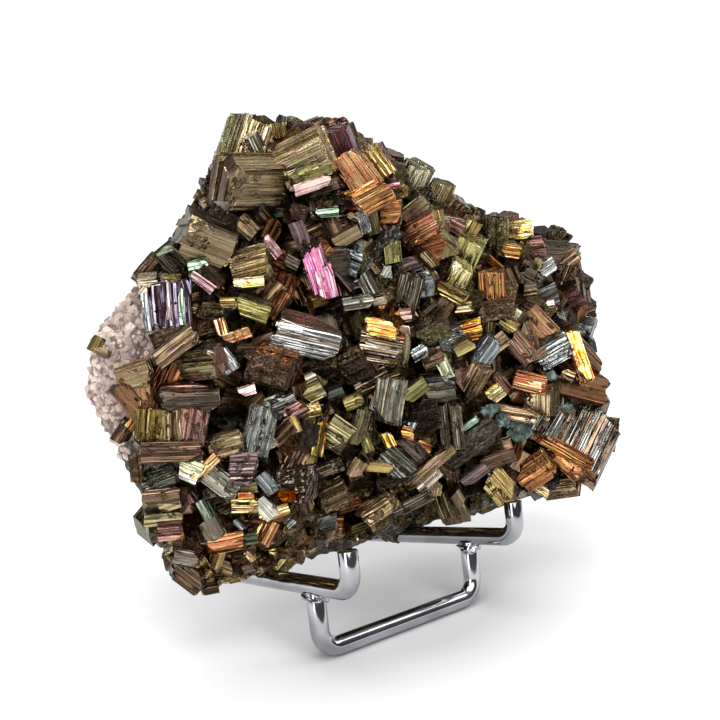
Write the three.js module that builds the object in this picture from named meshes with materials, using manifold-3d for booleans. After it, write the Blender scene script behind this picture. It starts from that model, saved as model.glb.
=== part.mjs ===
// A pyrite cluster that leans on a small chrome wire easel. Millimetres, +Z up, front towards -Y.
// The stone is one solid of striated crystals grown out of massive pyrite. A crust of a pale mineral
// covers its back and its left edge. The easel is two bent wires: a frame, and a leg welded under it.
import * as THREE from 'three';
import { mergeVertices } from 'three/addons/utils/BufferGeometryUtils.js';
import { ConvexGeometry } from 'three/addons/geometries/ConvexGeometry.js';
import Module from 'manifold-3d';

const wasm = await Module();
wasm.setup();

const GAP = 0.3; // free space that touching pieces keep between them

// Easel: x is measured from its middle, y from the front bar, z from the table.
const WIRE_RADIUS = 1.6;
const WIRE_SIDES = 8;
const BAR_HALF = 18; // middle of the front bar to each of its corners
const LEG_LEAN = 10; // degrees that the front leg leans back
const HOOK = { half: 19.1, y: -8.8, z: 14.6, height: 6.4, lean: 10 };
const ARM = { slope: 0.225, splay: 0.074, reach: 63.14 };
const UPRIGHT = { lean: 3, topZ: 44, topHalf: 8 };
const BEND = { hook: 3.2, leg: 3.4, heel: 5, top: 5 };
const WELD_Y = 1.6; // where the leg meets the arms

// Stone: "across" runs along its front, "up" follows its lean and "deep" goes into it.
const FOOT = new THREE.Vector3(0, 1, 14.1);
const TURN = 8; // degrees that the front is turned towards the left
const LEAN = 14; // degrees that the stone leans back
const MIDDLE = { across: 8, up: 36 };
const RIM_FALL = 9; // how far the front falls back at its rim
const CRYSTAL_SKIN = 5; // thickness of the crystal layer over the massive pyrite, on the front
const RIM_SKIN = 4.5; // and round the sides
const BACK = 46; // depth of the stone where it is thickest
const SEED = 20;

const rad = THREE.MathUtils.degToRad;

// Widest outline of the stone, seen from the front.
const OUTLINE = [
  [-33, -1], [-39, 10], [-43, 20], [-44, 31], [-43, 41], [-38, 47], [-32, 53], [-28, 60], [-24, 68],
  [-20, 77], [-14, 80], [5, 80], [14, 74], [25, 68], [36, 60], [56, 55], [62, 44], [63, 33],
  [66, 22], [64, 10], [59, 4], [44, 0], [27, 1], [9, -0.5], [-12, 0], [-24, -0.5],
];

// Widest outline of the pale crust, seen from the front.
const CRUST_OUTLINE = [
  [-37, 20], [-41, 29], [-42, 41], [-38, 47], [-30, 52], [-19, 58], [-5, 60], [8, 55], [13, 42],
  [9, 26], [-4, 15], [-20, 11], [-31, 14],
];

// The large crystals: across, up, length, width, depth, turn of the axis in the face (degrees from
// across), tilt of the axis out of the face (degrees), number of sides.
const CRYSTALS = [
  // crown
  [-14, 74, 10.5, 8, 9, 10, 10, 6], [-16, 69.5, 9.5, 5.5, 8, 5, 0, 4],
  [-17, 64.5, 12, 7, 11, 2, -8, 5], [-5, 76, 7.5, 5.5, 7, 20, 10, 6], [4, 74, 7.5, 5.5, 7, -15, 5, 5],
  [-6, 70, 11, 9, 11, 12, 40, 4], [2.5, 71.5, 7.5, 6, 8, 100, 5, 4], [2, 67, 7, 5.5, 7, -50, 15, 5],
  [6.5, 69, 9.5, 5, 7, -60, 10, 4], [4, 62.5, 9.5, 5.5, 8, 10, 20, 6], [16, 66, 9.5, 8, 8, 62, 5, 6],
  [22.5, 63, 7.5, 6, 7, 60, 0, 5], [28, 59.5, 6, 5.5, 6, 60, 20, 6],
  [-8, 63, 7.5, 5.5, 6, 160, -10, 5],
  // upper left
  [-24.5, 56, 10.5, 8, 9, -22, 15, 4], [-19.5, 50, 9.5, 8, 9, 8, 38, 5],
  [-34.5, 43.5, 8.5, 10.5, 9, 95, 0, 4], [-9, 50, 11, 5.5, 7, 104, 5, 4],
  [1, 58.5, 7, 7, 7, 70, 10, 6],
  // upper right
  [14, 55, 8.5, 10.5, 9, 35, 48, 4], [24, 53, 8.5, 6, 7, 60, 10, 4], [8.5, 45, 9.5, 6, 7, 75, 15, 6],
  [32.5, 53, 8.5, 7, 9, 85, 5, 5], [41, 54, 7.5, 7, 8, 20, 10, 6], [52, 51.5, 8.5, 6, 8, -10, 10, 5],
  [56, 45, 10.5, 6, 8, 100, 10, 4], [28, 45, 6, 6, 6, 95, 0, 4], [49, 42.5, 9.5, 7, 8, -20, 20, 6],
  [28.5, 40.5, 9.5, 5.5, 7, 10, -5, 4], [32, 35, 8.5, 6, 7, -60, 10, 4],
  [41, 37.5, 8.5, 6, 8, 20, 15, 5], [24.5, 32, 7.5, 5.5, 7, 50, 10, 4],
  [40, 31.5, 9.5, 5.5, 7, 20, 0, 4], [54.5, 36, 7.5, 5.5, 7, -65, 10, 5],
  [21.5, 47, 6, 5.5, 6, 68, 5, 5], [37, 46.5, 6, 5.5, 6, 40, 30, 5],
  // middle
  [-15.5, 39, 11.5, 6.5, 8, -16, 0, 5], [-12, 43.5, 7.5, 4.5, 6, -5, 0, 4],
  [1, 39, 7.5, 8.5, 8, 0, 45, 5], [0.5, 27, 8.5, 7, 7, 80, 0, 4], [-6, 33, 7.5, 8, 8, 30, 20, 6],
  [-19.5, 32, 9.5, 8, 8, -35, 10, 5], [-23, 23.5, 12, 6, 8, 68, 0, 4],
  [-9.5, 20.5, 7, 7, 7, 15, -20, 6], [-5, 18, 8.5, 4.5, 6, 80, 0, 5], [6, 18, 7.5, 4.5, 6, -40, 10, 4],
  [3, 14.5, 8.5, 4.5, 6, -45, 0, 4], [9, 13, 10.5, 3.5, 5, 48, 0, 4], [12, 28.5, 7.5, 5.5, 7, 3, 0, 4],
  [10, 38.5, 7.5, 5.5, 7, 30, 5, 6], [-18.5, 22, 7, 5.5, 6, 30, 10, 5],
  [18.5, 26.5, 7.5, 6, 7, -50, 10, 5], [15, 19.5, 10.5, 5.5, 7, 95, 5, 6],
  [21, 15, 8.5, 4, 5, 30, 0, 4],
  // left flank
  [-35, 38.5, 10.5, 5.5, 7, 40, 0, 5], [-30.5, 35, 10.5, 5.5, 8, 20, 5, 4],
  [-33, 31, 11, 6.5, 9, 5, 0, 4], [-36.5, 26, 5.5, 12.5, 8, 92, 0, 4],
  [-36.5, 21.5, 10.5, 5.5, 8, -3, 0, 4], [-43, 32, 7.5, 5, 6, -55, 0, 5],
  [-40, 17.5, 7.5, 5.5, 7, 15, 0, 5], [-33, 17.5, 7.5, 5.5, 7, 35, 0, 4],
  [-26, 17.5, 7, 6.5, 7, 85, 5, 4], [-26, 28.5, 7, 7, 7, 15, 0, 4], [-40.5, 14, 5, 7, 6, 80, 0, 5],
  [-30, 22.5, 6, 5.5, 6, 20, 20, 6],
  // lower left
  [-30, 5.5, 7.5, 8, 8, 20, 10, 5], [-32.5, 2.5, 7, 5.5, 7, -35, 0, 4],
  [-36.5, 10.5, 7.5, 6, 8, -5, 0, 4], [-18.5, 13, 7.5, 8, 8, 5, 45, 5], [-9, 9.5, 7, 7, 7, 40, 20, 6],
  [-2, 8, 7.5, 5.5, 7, 35, 10, 4], [-23, 4, 8.5, 5.5, 8, 20, 0, 6], [-22, 8.5, 6, 5.5, 6, 50, 10, 6],
  [-36.5, 6, 6, 5.5, 6, 30, 0, 6],
  // lower right
  [52, 26.5, 13, 10.5, 11, -60, 10, 5], [34, 26.5, 7.5, 5, 6, -20, 0, 4],
  [53.5, 13.5, 11, 13, 10, 58, 0, 4], [39, 17.5, 7, 6, 6, 58, 0, 4],
  [31, 20.5, 10.5, 4.5, 6, -12, 0, 4], [33.5, 9, 9.5, 7, 8, 35, 10, 5],
  [25, 6.5, 8.5, 5.5, 7, -50, 0, 4], [41, 2.5, 8.5, 5.5, 8, 5, 10, 6], [60, 21, 7, 6, 8, 60, 0, 6],
  [29, 14, 7, 5.5, 6, 15, 0, 5],
];

// A small repeatable random number generator.
function randomFrom(seed) {
  let state = seed >>> 0;
  return () => {
    state = (state + 0x6d2b79f5) >>> 0;
    let t = Math.imul(state ^ (state >>> 15), 1 | state);
    t = (t + Math.imul(t ^ (t >>> 7), 61 | t)) ^ t;
    return ((t ^ (t >>> 14)) >>> 0) / 4294967296;
  };
}

// Smooth lumpy noise between -1 and 1, with one lump in about each unit of p.
function lumps(x, y, z) {
  const corner = (i, j, k) => {
    let h = Math.imul(i, 374761393) ^ Math.imul(j, 668265263) ^ Math.imul(k, 1274126177);
    h = Math.imul(h ^ (h >>> 13), 1103515245);
    return ((h ^ (h >>> 16)) >>> 0) / 2147483648 - 1;
  };
  const [i, j, k] = [Math.floor(x), Math.floor(y), Math.floor(z)];
  const ease = (t) => t * t * (3 - 2 * t);
  const [u, v, w] = [ease(x - i), ease(y - j), ease(z - k)];
  const mix = THREE.MathUtils.lerp;
  const row = (jj, kk) => mix(corner(i, jj, kk), corner(i + 1, jj, kk), u);
  return mix(mix(row(j, k), row(j + 1, k), v), mix(row(j, k + 1), row(j + 1, k + 1), v), w);
}

// ---------------------------------------------------------------- solids and meshes

function solidOf(geometry) {
  const bare = geometry.clone();
  bare.deleteAttribute('normal');
  bare.deleteAttribute('uv');
  const merged = mergeVertices(bare, 1e-4);
  return new wasm.Manifold(new wasm.Mesh({
    numProp: 3,
    vertProperties: new Float32Array(merged.attributes.position.array),
    triVerts: new Uint32Array(merged.index.array),
  }));
}

// Joins many solids in pairs, which keeps each join small.
function joined(solids) {
  let row = solids;
  while (row.length > 1) {
    const next = [];
    for (let i = 0; i < row.length; i += 2) {
      next.push(i + 1 < row.length ? row[i].add(row[i + 1]) : row[i]);
    }
    row = next;
  }
  return row[0];
}

function largestPart(solid) {
  return solid.decompose().reduce((a, b) => (b.volume() > a.volume() ? b : a));
}

function meshOf(solid, name, material) {
  const data = solid.getMesh();
  const geometry = new THREE.BufferGeometry();
  geometry.setAttribute('position', new THREE.BufferAttribute(new Float32Array(data.vertProperties), 3));
  geometry.setIndex(new THREE.BufferAttribute(new Uint32Array(data.triVerts), 1));
  geometry.computeVertexNormals();
  const mesh = new THREE.Mesh(geometry, material);
  mesh.name = name;
  return mesh;
}

// ---------------------------------------------------------------- the stone's own frame

const across = new THREE.Vector3(Math.cos(rad(TURN)), -Math.sin(rad(TURN)), 0);
const level = new THREE.Vector3(Math.sin(rad(TURN)), Math.cos(rad(TURN)), 0);
const vertical = new THREE.Vector3(0, 0, 1);
const [leanCos, leanSin] = [Math.cos(rad(LEAN)), Math.sin(rad(LEAN))];
const up = vertical.clone().multiplyScalar(leanCos).addScaledVector(level, leanSin);
const deep = level.clone().multiplyScalar(leanCos).addScaledVector(vertical, -leanSin);
const stoneFrame = new THREE.Matrix4().makeBasis(across, up, deep).setPosition(FOOT);

// Distance from a centre to a closed outline, in the direction of an angle.
function outlineRadius(outline, centre) {
  const rays = outline.map(([a, u]) => {
    const [x, y] = [a - centre.across, u - centre.up];
    return { angle: Math.atan2(y, x), radius: Math.hypot(x, y) };
  }).sort((p, q) => p.angle - q.angle);
  return (angle) => {
    const after = rays.findIndex((ray) => ray.angle > angle);
    const next = rays[after < 0 ? 0 : after];
    const last = rays[(after < 0 ? rays.length : after || rays.length) - 1];
    const span = (next.angle - last.angle + 2 * Math.PI) % (2 * Math.PI);
    const part = ((angle - last.angle + 2 * Math.PI) % (2 * Math.PI)) / span;
    return THREE.MathUtils.lerp(last.radius, next.radius, part);
  };
}

const stoneRadius = outlineRadius(OUTLINE, MIDDLE);

// How far out a place is, from 0 in the middle to 1 at the rim.
function rimShare(a, u) {
  const [x, y] = [a - MIDDLE.across, u - MIDDLE.up];
  return Math.hypot(x, y) / stoneRadius(Math.atan2(y, x));
}

// Depth of the front of the crystals.
function frontDepth(a, u) {
  return RIM_FALL * Math.min(rimShare(a, u), 1.1) ** 4;
}

// Depth of the back of the stone: thickest over the easel, thinner to the right and to the left.
function backDepth(a) {
  const right = THREE.MathUtils.smoothstep(a, 12, 60);
  const left = THREE.MathUtils.smoothstep(-a, 5, 40);
  return BACK - 20 * right - 5 * left;
}

// ---------------------------------------------------------------- rounded lumps

// A closed body from rings around an axis that points into the stone. Each ring is a share of the
// outline's radius and a mix between the front depth and the back depth.
function boulder({ centre, radius, front, back, rings, columns, roughness, lumpSize }) {
  const points = [];
  const place = (share, mix, angle) => {
    const reach = radius(angle) * share;
    const a = centre.across + reach * Math.cos(angle);
    const u = centre.up + reach * Math.sin(angle);
    const d = THREE.MathUtils.lerp(front(a, u), back(a, u), mix);
    const bump = roughness * lumps(a / lumpSize, u / lumpSize, d / lumpSize);
    const side = Math.sin(Math.PI * mix);
    points.push(
      a + bump * side * Math.cos(angle),
      u + bump * side * Math.sin(angle),
      d + bump * Math.cos(Math.PI * mix) * -1,
    );
  };
  place(0, 0, 0);
  for (const [share, mix] of rings) {
    for (let c = 0; c < columns; c += 1) place(share, mix, (c / columns) * 2 * Math.PI - Math.PI);
  }
  place(0, 1, 0);
  const index = [];
  const last = points.length / 3 - 1;
  const at = (r, c) => 1 + r * columns + (c % columns);
  for (let c = 0; c < columns; c += 1) {
    index.push(0, at(0, c), at(0, c + 1));
    for (let r = 0; r + 1 < rings.length; r += 1) {
      index.push(at(r, c), at(r + 1, c + 1), at(r, c + 1), at(r, c), at(r + 1, c), at(r + 1, c + 1));
    }
    index.push(last, at(rings.length - 1, c + 1), at(rings.length - 1, c));
  }
  const geometry = new THREE.BufferGeometry();
  geometry.setAttribute('position', new THREE.Float32BufferAttribute(points, 3));
  geometry.setIndex(index);
  return geometry.applyMatrix4(stoneFrame);
}

// 1 on the underside, which has no crystals, and 0 all round the rest.
function bareUnderside(angle) {
  return THREE.MathUtils.smoothstep(-Math.sin(angle), 0.6, 0.85);
}

// The massive pyrite that the crystals stand on.
function massivePyrite(grow) {
  return boulder({
    centre: MIDDLE,
    radius: (angle) => stoneRadius(angle) - RIM_SKIN * (1 - bareUnderside(angle)) + grow,
    front: (a, u) => frontDepth(a, u) + CRYSTAL_SKIN - grow,
    back: (a, u) => backDepth(a) - 9 * rimShare(a, u) ** 4 - 3 + grow,
    rings: [[0.35, 0], [0.7, 0], [0.9, 0.03], [1, 0.35], [0.98, 0.7], [0.85, 0.97], [0.45, 1]],
    columns: 24,
    roughness: 1.6,
    lumpSize: 8,
  });
}

// The pale crust, before the pyrite is cut out of it.
function crustBlank() {
  const centre = { across: -17, up: 35 };
  const radius = outlineRadius(CRUST_OUTLINE, centre);
  const share = (a, u) => {
    const [x, y] = [a - centre.across, u - centre.up];
    return Math.hypot(x, y) / radius(Math.atan2(y, x));
  };
  return boulder({
    centre,
    radius,
    front: (a, u) => 10 + 5 * share(a, u) ** 4,
    back: (a, u) => backDepth(a) + 1 - 12 * share(a, u) ** 5,
    rings: [[0.4, 0], [0.75, 0], [0.9, 0.08], [0.98, 0.25], [1, 0.42], [1, 0.58], [0.97, 0.75],
      [0.9, 0.9], [0.78, 0.98], [0.63, 1], [0.47, 1], [0.3, 1], [0.15, 1]],
    columns: 38,
    roughness: 2.4,
    lumpSize: 5,
  });
}

// ---------------------------------------------------------------- crystals

// Outlines of the prisms, seen along the axis, with half sizes of 1.
const SECTIONS = {
  4: [[-1, -1], [1, -1], [1, 0.75], [0.75, 1], [-1, 1]],
  5: [[-1, -0.8], [-0.6, -1], [0.9, -1], [1, 0.35], [0.1, 1], [-1, 0.7]],
  6: [[-1, -0.35], [-0.4, -1], [0.6, -0.9], [1, 0.1], [0.5, 1], [-0.6, 0.85]],
};

// A prism along X with slanted flat ends.
function prism({ length, width, depth, sides, slants }) {
  const points = [];
  for (const [y, z] of SECTIONS[sides]) {
    for (const end of [-1, 1]) {
      const [sy, sz] = end < 0 ? slants.slice(0, 2) : slants.slice(2);
      const x = (end * length) / 2 + (sy * y * width) / 2 + (sz * z * depth) / 2;
      points.push(new THREE.Vector3(x, (y * width) / 2, (z * depth) / 2));
    }
  }
  return new ConvexGeometry(points);
}

// Turns a prism to its place: "out" is the way out of the stone, and the prism's own +Z ends up as
// near to it as the axis allows. Both at and out are in the stone's frame.
function placePrism(geometry, { at, out, turn, tilt, roll }) {
  const away = out.clone().transformDirection(stoneFrame);
  const east = across.clone().addScaledVector(away, -across.dot(away)).normalize();
  const north = new THREE.Vector3().crossVectors(away, east);
  const flat = east.multiplyScalar(Math.cos(rad(turn))).addScaledVector(north, Math.sin(rad(turn)));
  const axis = flat.clone().multiplyScalar(Math.cos(rad(tilt))).addScaledVector(away, Math.sin(rad(tilt)));
  const face = away.clone().multiplyScalar(Math.cos(rad(tilt))).addScaledVector(flat, -Math.sin(rad(tilt)));
  face.applyAxisAngle(axis, rad(roll));
  const sideways = new THREE.Vector3().crossVectors(face, axis);
  const place = at.clone().applyMatrix4(stoneFrame);
  return geometry.applyMatrix4(new THREE.Matrix4().makeBasis(axis, sideways, face).setPosition(place));
}

// Way out of the stone at a place on its front.
function outOfFront(a, u) {
  const step = 1;
  const fallAcross = (frontDepth(a + step, u) - frontDepth(a - step, u)) / (2 * step);
  const fallUp = (frontDepth(a, u + step) - frontDepth(a, u - step)) / (2 * step);
  return new THREE.Vector3(fallAcross * 0.6, fallUp * 0.6, -1).normalize();
}

// The hand-placed crystals, with small chance differences in how far they stand out and roll.
function largeCrystals(random) {
  return CRYSTALS.map(([a, u, length, width, depth, turn, tilt, sides]) => {
    const out = outOfFront(a, u);
    const sunk = depth * 0.5 + 1.2 - 2.4 * random();
    return {
      at: new THREE.Vector3(a, u, frontDepth(a, u)).addScaledVector(out, -sunk),
      out, length, width, depth, turn, tilt, sides,
      roll: (random() - 0.5) * 24,
      slants: [0, 1, 2, 3].map(() => (random() - 0.5) * 0.36),
    };
  });
}

function chanceCrystal(random, at, out, smallest, largest) {
  const size = THREE.MathUtils.lerp(smallest, largest, random());
  return {
    at, out,
    length: size * (0.9 + 0.6 * random()),
    width: size * (0.75 + 0.4 * random()),
    depth: size * (0.85 + 0.3 * random()),
    turn: random() * 180,
    tilt: -20 + 65 * random(),
    roll: (random() - 0.5) * 60,
    sides: 4 + Math.floor(random() * 3),
    slants: [0, 1, 2, 3].map(() => (random() - 0.5) * 0.5),
  };
}

// Crystals round the sides, except where the pale crust lies.
function crystalsOnRim(random) {
  const found = [];
  for (let row = 0; row < 2; row += 1) {
    const count = 24 - 3 * row;
    for (let i = 0; i < count; i += 1) {
      const angle = ((i + 0.5 * (row % 2) + 0.5 * (random() - 0.5)) / count) * 2 * Math.PI - Math.PI;
      const inset = 5 + 1.5 * row + 1.5 * random() + (Math.cos(angle) < 0 ? 1 + 2 * row : 0);
      const reach = stoneRadius(angle) - inset;
      const a = MIDDLE.across + reach * Math.cos(angle);
      const u = MIDDLE.up + reach * Math.sin(angle);
      const d = RIM_FALL + 4 + row * 9;
      const out = new THREE.Vector3(Math.cos(angle), Math.sin(angle), -0.5 + 0.35 * row).normalize();
      const crystal = chanceCrystal(random, new THREE.Vector3(a, u, d), out, 6, 9);
      const underCrust = row > 0 && a < -8 && u > 12 && u < 62;
      if (!underCrust && d < backDepth(a) - 6 && u > 8) found.push(crystal);
    }
  }
  return found;
}

// Scattered crystals on the part of the back that the crust leaves bare.
function crystalsOnBack(random) {
  const found = [];
  for (let a = 14; a < 58; a += 14) {
    for (let u = 8; u < 70; u += 14) {
      const [x, y] = [a + (random() - 0.5) * 5, u + (random() - 0.5) * 5];
      const at = new THREE.Vector3(x, y, backDepth(x) - 5.5);
      const crystal = chanceCrystal(random, at, new THREE.Vector3(0, 0, 1), 6, 9);
      if (rimShare(x, y) < 0.85) found.push(crystal);
    }
  }
  return found;
}

function pyriteSolid(grow) {
  const random = randomFrom(SEED);
  const all = [...largeCrystals(random), ...crystalsOnRim(random), ...crystalsOnBack(random)];
  const prisms = all.map((crystal) => solidOf(placePrism(prism({
    ...crystal,
    length: crystal.length + 2 * grow,
    width: crystal.width + 2 * grow,
    depth: crystal.depth + 2 * grow,
  }), crystal)));
  return joined([solidOf(massivePyrite(grow)), ...prisms]);
}

// ---------------------------------------------------------------- easel wires

// A path of straight runs whose corners are rounded. It steps from point to point, so a straight run
// is one step and a corner has a few short ones.
class BentWirePath extends THREE.Curve {
  constructor(corners, bends) {
    super();
    this.stops = [];
    corners.forEach((corner, i) => {
      if (!bends[i]) {
        this.stops.push(corner.clone());
        return;
      }
      const back = corners[i - 1].clone().sub(corner).normalize();
      const on = corners[i + 1].clone().sub(corner).normalize();
      const half = back.angleTo(on) / 2;
      const centre = back.clone().add(on).normalize().multiplyScalar(bends[i] / Math.sin(half)).add(corner);
      const start = corner.clone().addScaledVector(back, bends[i] / Math.tan(half)).sub(centre);
      const end = corner.clone().addScaledVector(on, bends[i] / Math.tan(half)).sub(centre);
      const spin = new THREE.Vector3().crossVectors(start, end).normalize();
      const steps = 5;
      for (let s = 0; s <= steps; s += 1) {
        const turned = start.clone().applyAxisAngle(spin, ((Math.PI - 2 * half) * s) / steps);
        this.stops.push(turned.add(centre));
      }
    });
  }

  get steps() {
    return this.stops.length - 1;
  }

  getPoint(t, target = new THREE.Vector3()) {
    const i = Math.min(Math.round(t * this.steps), this.steps);
    return target.copy(this.stops[i]);
  }

  getPointAt(t, target) {
    return this.getPoint(t, target);
  }

  getTangentAt(t, target = new THREE.Vector3()) {
    const i = Math.round(t * this.steps);
    const here = this.stops[i];
    target.set(0, 0, 0);
    if (i > 0) target.add(here.clone().sub(this.stops[i - 1]).normalize());
    if (i < this.steps) target.add(this.stops[i + 1].clone().sub(here).normalize());
    return target.normalize();
  }
}

function wire(path, radius, sectionTurn) {
  const section = new THREE.Shape();
  for (let i = 0; i < WIRE_SIDES; i += 1) {
    const angle = rad(sectionTurn) + (i / WIRE_SIDES) * 2 * Math.PI;
    section[i ? 'lineTo' : 'moveTo'](radius * Math.cos(angle), radius * Math.sin(angle));
  }
  return new THREE.ExtrudeGeometry(section, { steps: path.steps, extrudePath: path, curveSegments: 1 });
}

// Middle of an arm at a distance y, on the side s (-1 left, 1 right).
function armPoint(s, y) {
  const along = y - HOOK.y;
  return new THREE.Vector3(s * (HOOK.half - ARM.splay * along), y, HOOK.z - ARM.slope * along);
}

function framePath() {
  const half = (s) => {
    const corner = armPoint(s, HOOK.y);
    const tip = corner.clone();
    tip.y += HOOK.height * Math.sin(rad(HOOK.lean));
    tip.z += HOOK.height * Math.cos(rad(HOOK.lean));
    const heel = armPoint(s, HOOK.y + ARM.reach);
    const rise = UPRIGHT.topZ - heel.z;
    const topY = heel.y + rise * Math.tan(rad(UPRIGHT.lean));
    const top = new THREE.Vector3(s * UPRIGHT.topHalf, topY, UPRIGHT.topZ);
    return [tip, corner, heel, top];
  };
  const bends = [0, BEND.hook, BEND.heel, BEND.top];
  return new BentWirePath([...half(-1), ...half(1).reverse()], [...bends, ...bends.slice().reverse()]);
}

function legPath(flat) {
  const foot = WIRE_RADIUS * Math.cos(Math.PI / WIRE_SIDES);
  const bottom = (s) => new THREE.Vector3(s * BAR_HALF, 0, foot);
  const top = (s) => {
    const arm = armPoint(s, WELD_Y);
    const height = (arm.z - foot) / Math.cos(rad(LEG_LEAN)) - WIRE_RADIUS - flat;
    const lean = new THREE.Vector3(0, Math.sin(rad(LEG_LEAN)), Math.cos(rad(LEG_LEAN)));
    return bottom(s).addScaledVector(lean, height);
  };
  return new BentWirePath([top(-1), bottom(-1), bottom(1), top(1)], [0, BEND.leg, BEND.leg, 0]);
}

// Section turns that put one flat of the wire on the table.
const FRAME_SECTION_TURN = 0;
const LEG_SECTION_TURN = 180 / WIRE_SIDES + LEG_LEAN;

// ---------------------------------------------------------------- the model

const pyriteFinish = new THREE.MeshStandardMaterial({ color: 0x6e5f43, roughness: 0.35, metalness: 0.9 });
const crustFinish = new THREE.MeshStandardMaterial({ color: 0xc4b3ad, roughness: 0.85, metalness: 0 });
const chromeFinish = new THREE.MeshStandardMaterial({ color: 0xc9ccd1, roughness: 0.08, metalness: 1 });

const frameRoom = solidOf(wire(framePath(), WIRE_RADIUS + GAP, FRAME_SECTION_TURN));
const pyrite = largestPart(pyriteSolid(0).subtract(frameRoom));
const crust = largestPart(solidOf(crustBlank()).subtract(pyriteSolid(GAP)).subtract(frameRoom));

const model = new THREE.Group();
model.add(meshOf(pyrite, 'pyrite_cluster', pyriteFinish));
model.add(meshOf(crust, 'pale_druse', crustFinish));
const frameWire = solidOf(wire(framePath(), WIRE_RADIUS, FRAME_SECTION_TURN));
const legWire = solidOf(wire(legPath(GAP), WIRE_RADIUS, LEG_SECTION_TURN));
model.add(meshOf(frameWire, 'easel_frame', chromeFinish));
model.add(meshOf(legWire, 'easel_front_leg', chromeFinish));

// The origin is under the middle of the whole object, on the table.
const box = new THREE.Box3().setFromObject(model);
const middle = box.getCenter(new THREE.Vector3());
model.position.set(-middle.x, -middle.y, -box.min.z);

const part = new THREE.Group();
part.add(model);

export default part;
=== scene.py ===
# %% [markdown]
# # A pyrite cluster on a small chrome easel
# The stone is a crust of striated bronze crystals grown on massive pyrite. Thin films on the crystals
# show gold, copper, pink and teal. A pale grainy crust covers part of its back and its left edge.
# The stone leans on an easel of bent chrome wire. The first step opens the measured solids, because
# every later piece takes its place from them.

# %% Open the measured solids
import math
import random

import bpy
import numpy as np
from mathutils import Matrix, Vector, noise


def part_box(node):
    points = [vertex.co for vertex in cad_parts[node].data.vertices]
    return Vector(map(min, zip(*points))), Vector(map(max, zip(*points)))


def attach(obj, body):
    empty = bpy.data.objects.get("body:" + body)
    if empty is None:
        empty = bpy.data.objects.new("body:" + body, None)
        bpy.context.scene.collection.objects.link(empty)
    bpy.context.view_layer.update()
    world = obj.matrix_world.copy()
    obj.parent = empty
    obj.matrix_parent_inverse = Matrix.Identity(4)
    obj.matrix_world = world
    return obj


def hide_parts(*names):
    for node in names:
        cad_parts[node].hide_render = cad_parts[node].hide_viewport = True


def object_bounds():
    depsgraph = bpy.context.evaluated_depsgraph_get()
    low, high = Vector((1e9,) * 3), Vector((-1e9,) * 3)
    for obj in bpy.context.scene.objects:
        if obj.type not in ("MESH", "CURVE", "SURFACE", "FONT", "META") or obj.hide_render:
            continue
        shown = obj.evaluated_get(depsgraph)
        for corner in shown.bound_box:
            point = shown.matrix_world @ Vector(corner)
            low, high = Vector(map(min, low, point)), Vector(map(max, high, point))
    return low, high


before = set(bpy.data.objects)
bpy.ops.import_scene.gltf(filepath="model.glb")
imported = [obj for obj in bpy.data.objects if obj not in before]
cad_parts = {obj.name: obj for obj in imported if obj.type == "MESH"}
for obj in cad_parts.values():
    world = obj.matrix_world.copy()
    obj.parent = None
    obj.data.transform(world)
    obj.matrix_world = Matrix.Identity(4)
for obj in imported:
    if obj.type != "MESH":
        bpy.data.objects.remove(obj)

MM = 0.001
box_of_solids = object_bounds()
print("nodes:", sorted(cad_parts), "box:", [tuple(round(v, 4) for v in c) for c in box_of_solids])

# %% [markdown]
# Two sets of axes make the work easy. The stand's origin is on the table under the middle of the
# easel's front bar. The stone's own axes run across its face, up its face and into its depth. The
# stone is turned a little to the left and leans back, so its axes are built from those two angles.
# The measured wires have eight flat sides, and FLAT_SHARE is how near a flat is to the wire's middle.

# %% The stand's origin and the stone's axes
WIRE_RADIUS = 1.6
FLAT_SHARE = math.cos(math.pi / 8)
leg_low, leg_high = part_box("easel_front_leg")
bar_half_width = WIRE_RADIUS * FLAT_SHARE * MM
STAND = Vector(((leg_low.x + leg_high.x) / 2, leg_low.y + bar_half_width, 0.0))

STONE_TURN, STONE_LEAN = math.radians(8), math.radians(14)
ACROSS = Vector((math.cos(STONE_TURN), -math.sin(STONE_TURN), 0))
LEVEL = Vector((math.sin(STONE_TURN), math.cos(STONE_TURN), 0))
UP = Vector((0, 0, 1)) * math.cos(STONE_LEAN) + LEVEL * math.sin(STONE_LEAN)
DEEP = LEVEL * math.cos(STONE_LEAN) - Vector((0, 0, 1)) * math.sin(STONE_LEAN)
FOOT = Vector((0, 1, 14.1))


def stand_point(x, y, z):
    """A place measured from the stand's origin in millimetres."""
    return STAND + Vector((x, y, z)) * MM


def stone_point(a, u, d):
    """A place across, up and into the stone, in millimetres."""
    return STAND + (FOOT + ACROSS * a + UP * u + DEEP * d) * MM


def stone_direction(v):
    return (ACROSS * v[0] + UP * v[1] + DEEP * v[2]).normalized()


print("stand origin", [round(v, 5) for v in STAND])

# %% [markdown]
# The camera stands to the left of the stone and a little above it. It is made first, so that every
# later choice can be judged in its view. Its place is measured from the stand's origin.

# %% The camera
CAMERA_PLACE = (-117.39, -123.74, 76.25)
CAMERA_TURN, CAMERA_PITCH = math.radians(40.987), math.radians(9.598)
CAMERA_LENS = 52.1

bpy.ops.object.select_all(action="DESELECT")
looking = Vector((
    math.sin(CAMERA_TURN) * math.cos(CAMERA_PITCH),
    math.cos(CAMERA_TURN) * math.cos(CAMERA_PITCH),
    -math.sin(CAMERA_PITCH),
))
bpy.ops.object.camera_add(location=stand_point(*CAMERA_PLACE))
camera = bpy.context.object
camera.rotation_euler = looking.to_track_quat("-Z", "Y").to_euler()
camera.data.sensor_width = 36
camera.data.lens = CAMERA_LENS
camera.data.clip_start = 0.01
bpy.context.scene.camera = camera
print("camera at", [round(v, 4) for v in camera.location])
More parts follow.
